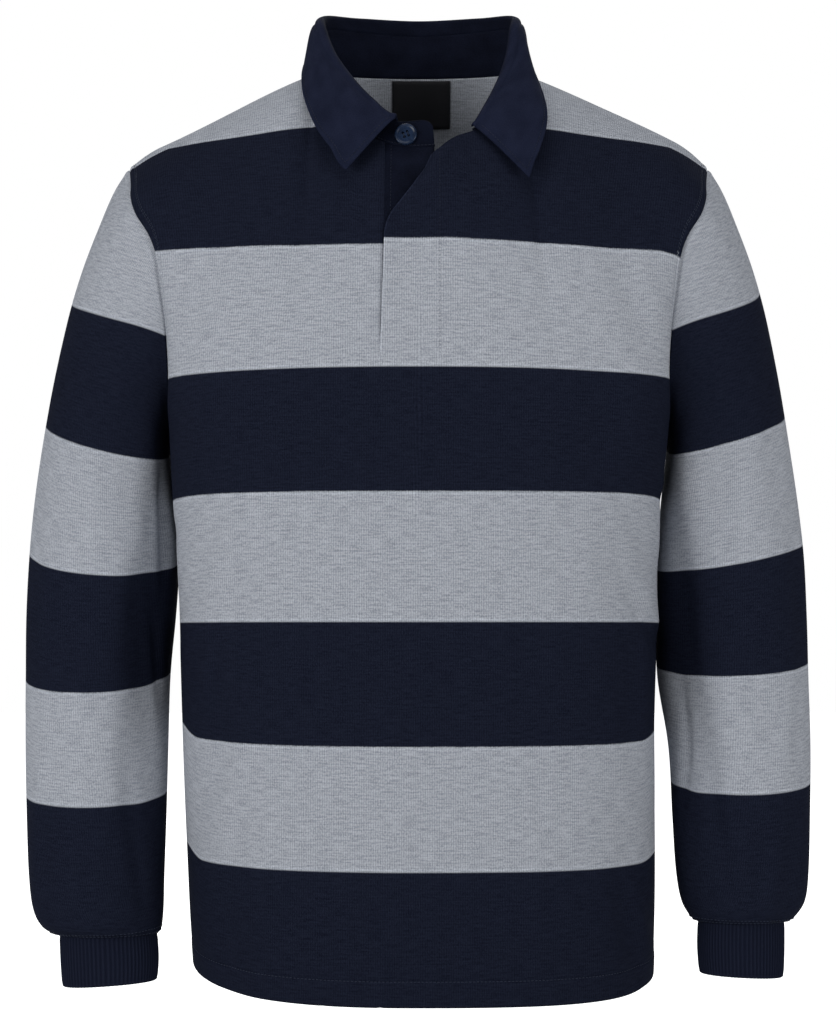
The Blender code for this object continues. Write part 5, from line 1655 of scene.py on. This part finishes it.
# ---------------------------------------------------------------- collar
# One leaf of smooth navy twill, turned down over the band, with a long point each side; it is
# stitched about 4 mm inside its edge and spreads open over the chest.
FOLD_RADIUS = 4.5
LEAF_BOW, LEAF_CLOTH = 3.0, 1.6
LEAF_STITCH = 4.2
LEAF_SWELL, LEAF_SINK, LEAF_SINK_WIDTH = 0.3, 0.35, 0.8
TWILL_DARK = (0.0062, 0.0090, 0.0235)
TWILL_LIGHT = (0.0128, 0.0170, 0.0410)
LEAF_END_STEPS = (0.0, 0.5, 1.1, 1.9, 2.5, 2.9, 3.5, 4.6, 6.0)
LEAF_EDGE_STEPS = (0.0, 0.8, 1.8, 3.0, 3.8, 4.3, 5.0, 6.4)
LEAF_CELLS, FOLD_CELLS, RISE_CELLS = 30, 14, 4
INSIDE_SHARE = 0.6                  # share of the fold over which the inside's painted shade gives way

base, band_top, fold, edge, up, outward = collar_station(sweeps(LEAF_START, LEAF_END_STEPS))
inside = -outward * BAND_CLOTH
start = band_top + up * SEAM_GAP + inside
radius = np.minimum(FOLD_RADIUS, np.linalg.norm(fold - band_top, axis=1) - SEAM_GAP)[:, None]
centre = fold - up * radius + outward * (radius - BAND_CLOTH)
columns = [start + (centre - outward * radius - start) * n / RISE_CELLS
           for n in range(RISE_CELLS)]
for n in range(FOLD_CELLS + 1):
    angle = math.pi * (1 - n / FOLD_CELLS)
    columns.append(centre + (outward * math.cos(angle) + up * math.sin(angle)) * radius)
last = columns[-1]
drop = np.linalg.norm(edge - last, axis=1)
steps = np.array(LEAF_EDGE_STEPS)
inner = np.linspace(0, 1, LEAF_CELLS + 1)[None, 1:] * (drop - steps[-1])[:, None]
down = np.concatenate([inner[:, :-1], drop[:, None] - steps[::-1]], axis=1)
share = down / drop[:, None]
leaf = (last[:, None] + (edge - last)[:, None] * share[..., None]
        + outward[:, None] * (LEAF_BOW * np.sin(math.pi * np.sqrt(share)))[..., None])
leaf_cloth = np.concatenate([np.stack(columns, axis=1), leaf], axis=1)
faces_out = np.broadcast_to(outward[:, None], leaf_cloth.shape) * (
    np.arange(leaf_cloth.shape[1]) > RISE_CELLS + FOLD_CELLS)[None, :, None]
leaf_out = normals_of(leaf_cloth, faces_out)
from_start = along(leaf_cloth, 0)
from_front = np.minimum(from_start, from_start[-1:] - from_start)
from_below = along(leaf_cloth, 1)
from_below = from_below[:, -1:] - from_below
from_edge = np.minimum(from_front, from_below)
leaf_form = (LEAF_SWELL * ease(LEAF_STITCH - from_edge)
             - LEAF_SINK * bulge(from_edge, LEAF_STITCH, LEAF_SINK_WIDTH))
leaf_cloth = leaf_cloth + leaf_out * leaf_form[..., None]
# The inside of the fold, darkened as painted shade.
inside = 1 - ease((np.arange(leaf_cloth.shape[1]) - RISE_CELLS) / (FOLD_CELLS * INSIDE_SHARE))
collar_leaf = cloth_wall(
    "collar_leaf_cloth", leaf_cloth, leaf_out, LEAF_CLOTH, np.stack(
        [along(leaf_cloth, 0), along(leaf_cloth, 1)], axis=-1),
    inside=np.broadcast_to(inside, leaf_cloth.shape[:2]))
navy_twill = make_twill("navy_twill", TWILL_DARK, TWILL_LIGHT, faced=True)
collar_leaf.data.materials.append(navy_twill)
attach(collar_leaf, "root")
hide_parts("collar_leaf")


def line_round_leaf(offset):
    """Stitches down the front edge, along the lower edge and up the other front edge."""
    from_start = along(leaf_cloth, 0)
    across = range(RISE_CELLS + FOLD_CELLS + 2, leaf_cloth.shape[1])
    stations = [(offset, from_start[:, i], leaf_cloth[:, i], leaf_out[:, i])
                for i in across if from_below[0, i] > offset]
    stations += [(-offset, -from_below[j], leaf_cloth[j], leaf_out[j])
                 for j in range(len(leaf_cloth))
                 if offset < from_start[j, -1] < from_start[-1, -1] - offset]
    stations += [(from_start[-1, i] - offset, from_start[:, i], leaf_cloth[:, i], leaf_out[:, i])
                 for i in reversed(across) if from_below[-1, i] > offset]
    return line_through(stations)


sew("collar_stitches", [line_round_leaf(LEAF_STITCH)], collar_thread,
    thickness=0.45)


# ---------------------------------------------------------------- neck label
# A small black satin label, sewn to the inside of the back just under the neck seam; it is bare.
LABEL_LEFT_X, LABEL_RIGHT_X = -22.0, 26.5
LABEL_TOP_Z, LABEL_BOTTOM_Z = 8.6, -29.0
LABEL_GAP, LABEL_CLOTH = 0.7, 1.0
LABEL_CELLS = 12
SATIN_RIB = 0.35
SATIN_ROUGHNESS = (0.5, 0.62)
SATIN_DEPTH = 0.00008
SATIN_DARK = (0.0185, 0.0190, 0.0225)
SATIN_LIGHT = (0.0325, 0.0335, 0.0395)


def make_satin():
    material, wire, shader = new_material("label_satin", 0.55, specular=0.2)
    weave = wire.place(twill, wire.cloth_places(), Rib_mm=SATIN_RIB)
    wire.feed_named(shader, Base_Color=wire.mix(weave.outputs["Shade"], SATIN_DARK, SATIN_LIGHT),
                    Roughness=wire.span(weave.outputs["Ribs"], 0.0, 1.0, *SATIN_ROUGHNESS),
                    Normal=wire.bump(weave.outputs["Ribs"], SATIN_DEPTH))
    return material


middle = int(np.argmin(np.abs(back_u[-1])))
middle_z = back_cloth[:, middle, 2]
label_x = np.linspace(LABEL_LEFT_X, LABEL_RIGHT_X, LABEL_CELLS + 1)
label_cloth, label_out = [], []
for z in np.linspace(LABEL_BOTTOM_Z, LABEL_TOP_Z, LABEL_CELLS + 1):
    upper = int(np.searchsorted(middle_z, z))
    share = (z - middle_z[upper - 1]) / (middle_z[upper] - middle_z[upper - 1])
    row, row_out = (grid[upper - 1] * (1 - share) + grid[upper] * share
                    for grid in (back_cloth, back_out))
    label_cloth.append(at_place(label_x, row[:, 0], row))
    label_out.append(at_place(label_x, row[:, 0], row_out))
label_out = unit(np.array(label_out))
label_cloth = np.array(label_cloth) - label_out * (KNIT + LABEL_GAP)
label_satin = make_satin()
label = cloth_wall("label", label_cloth, label_out, LABEL_CLOTH, np.stack(
    [along(label_cloth, 1), along(label_cloth, 0)], axis=-1))
label.data.materials.append(label_satin)
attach(label, "root")
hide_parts("neck_label")


# ---------------------------------------------------------------- button
# A four-hole shirt button of glossy navy-blue resin with a raised rim, sewn through the band.
BUTTON_SWEEP, BUTTON_UP = 6.6, 0.47
BUTTON_RADIUS, BUTTON_THICK = 8.7, 2.6
BUTTON_RIM, BUTTON_DISH = 1.5, 0.6
BUTTON_SEAT = 0.6
BUTTON_SIDES = 72
HOLE_RADIUS, HOLE_SPREAD, HOLE_SIDES = 1.15, 2.4, 20
HOLE_TURN = 0.28                    # the button was sewn on a little turned
DRILL_LOW, DRILL_HIGH = -2.0, 5.0
SHARP_DEGREES = 40
RESIN_DARK = (0.0025, 0.0095, 0.0290)
RESIN_LIGHT = (0.0065, 0.0185, 0.0500)
CLOUD_SCALE, WEAR_SCALE = 160.0, 900.0
RESIN_SPAN, RESIN_ROUGHNESS = (0.3, 0.7), (0.2, 0.34)
COAT, COAT_ROUGHNESS = 0.2, 0.06


def make_resin():
    material, wire, shader = new_material("button_resin", 0.3, specular=0.22)
    places = wire.object_places()
    cloud = wire.span(wire.noise(places, CLOUD_SCALE, 3.0), *RESIN_SPAN)
    wear = wire.span(wire.noise(places, WEAR_SCALE), *RESIN_SPAN, *RESIN_ROUGHNESS)
    wire.feed_named(shader, Base_Color=wire.mix(cloud, RESIN_DARK, RESIN_LIGHT), Roughness=wear,
                    Coat_Weight=COAT, Coat_Roughness=COAT_ROUGHNESS)
    return material


def lathe(profile, sides):
    """Vertices and faces of a closed round solid; the profile is (radius, height) upwards."""
    turns = 2 * math.pi * np.arange(sides) / sides
    vertices = [(r * math.cos(t), r * math.sin(t), z) for r, z in profile for t in turns]
    faces = [list(reversed(range(sides)))]
    for k in range(len(profile) - 1):
        for n in range(sides):
            m = (n + 1) % sides
            faces.append([k * sides + n, k * sides + m, (k + 1) * sides + m, (k + 1) * sides + n])
    top = (len(profile) - 1) * sides
    faces.append([top + n for n in range(sides)])
    return vertices, faces


base, band_top, _, _, up, outward = (item[0] for item in collar_station(
    np.array([BUTTON_SWEEP])))
across = np.cross(up, outward)
seat = base + (band_top - base) * BUTTON_UP + outward * BUTTON_SEAT
dish = BUTTON_RADIUS - BUTTON_RIM
low = BUTTON_THICK - BUTTON_DISH
profile = ((BUTTON_RADIUS - 0.9, 0.0), (BUTTON_RADIUS - 0.25, 0.3), (BUTTON_RADIUS, 0.9),
           (BUTTON_RADIUS, 1.6), (BUTTON_RADIUS - 0.2, 2.2), (BUTTON_RADIUS - 0.6, 2.52),
           (BUTTON_RADIUS - 1.05, 2.6), (dish, 2.5), (dish - 0.4, 2.25), (dish - 0.8, low + 0.06),
           (dish - 1.3, low), (dish - 2.2, low))
vertices, faces = lathe(profile, BUTTON_SIDES)
button_mesh = bpy.data.meshes.new("button")
button_mesh.from_pydata(vertices, [], faces)
button = new_object("button", button_mesh)
drill_vertices, drill_faces = [], []
hole, sides = lathe(((HOLE_RADIUS, DRILL_LOW), (HOLE_RADIUS, DRILL_HIGH)), HOLE_SIDES)
for k in range(4):
    turn = math.pi / 2 * (k + 0.5) + HOLE_TURN
    drill_faces += [[n + len(drill_vertices) for n in face] for face in sides]
    drill_vertices += [(x + HOLE_SPREAD * math.cos(turn), y + HOLE_SPREAD * math.sin(turn), z)
                       for x, y, z in hole]
drill_mesh = bpy.data.meshes.new("drill")
drill_mesh.from_pydata(drill_vertices, [], drill_faces)
drill = new_object("drill", drill_mesh)
cut = button.modifiers.new("holes", "BOOLEAN")
cut.operation = "DIFFERENCE"
cut.solver = "EXACT"
cut.object = drill
drilled = apply_modifiers(button)
bpy.data.objects.remove(drill)
places = np.array([vertex.co for vertex in drilled.vertices])
placed = seat + places[:, :1] * across + places[:, 1:2] * up + places[:, 2:] * outward
drilled.vertices.foreach_set("co", (placed * MM).reshape(-1))
drilled.update()
drilled.shade_smooth()
drilled.set_sharp_from_angle(angle=math.radians(SHARP_DEGREES))
drilled.materials.clear()
drilled.materials.append(make_resin())
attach(button, "root")
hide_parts("button_neck")

# The thread that holds it lies in two pairs of turns between its holes.
TURN_APART, TURN_SINK, TURN_RISE, TURN_POINTS = 0.2, 0.9, 1.15, 9
lines = []
half_hole = HOLE_SPREAD * math.sin(math.pi / 4)
turn = np.linspace(0, math.pi, TURN_POINTS)
rise = low - TURN_SINK + TURN_RISE * np.sin(turn)
for x in (-half_hole, half_hole):
    for side_step in (-TURN_APART, TURN_APART):
        x_along, y_along = x + side_step, -half_hole * np.cos(turn)
        right = x_along * math.cos(HOLE_TURN) - y_along * math.sin(HOLE_TURN)
        above = x_along * math.sin(HOLE_TURN) + y_along * math.cos(HOLE_TURN)
        line = seat + right[:, None] * across + above[:, None] * up + rise[:, None] * outward
        lines.append((line, np.broadcast_to(outward, line.shape)))
sew("button_thread", lines, navy_thread, pitch=0.45, length=0.8, thickness=0.32)
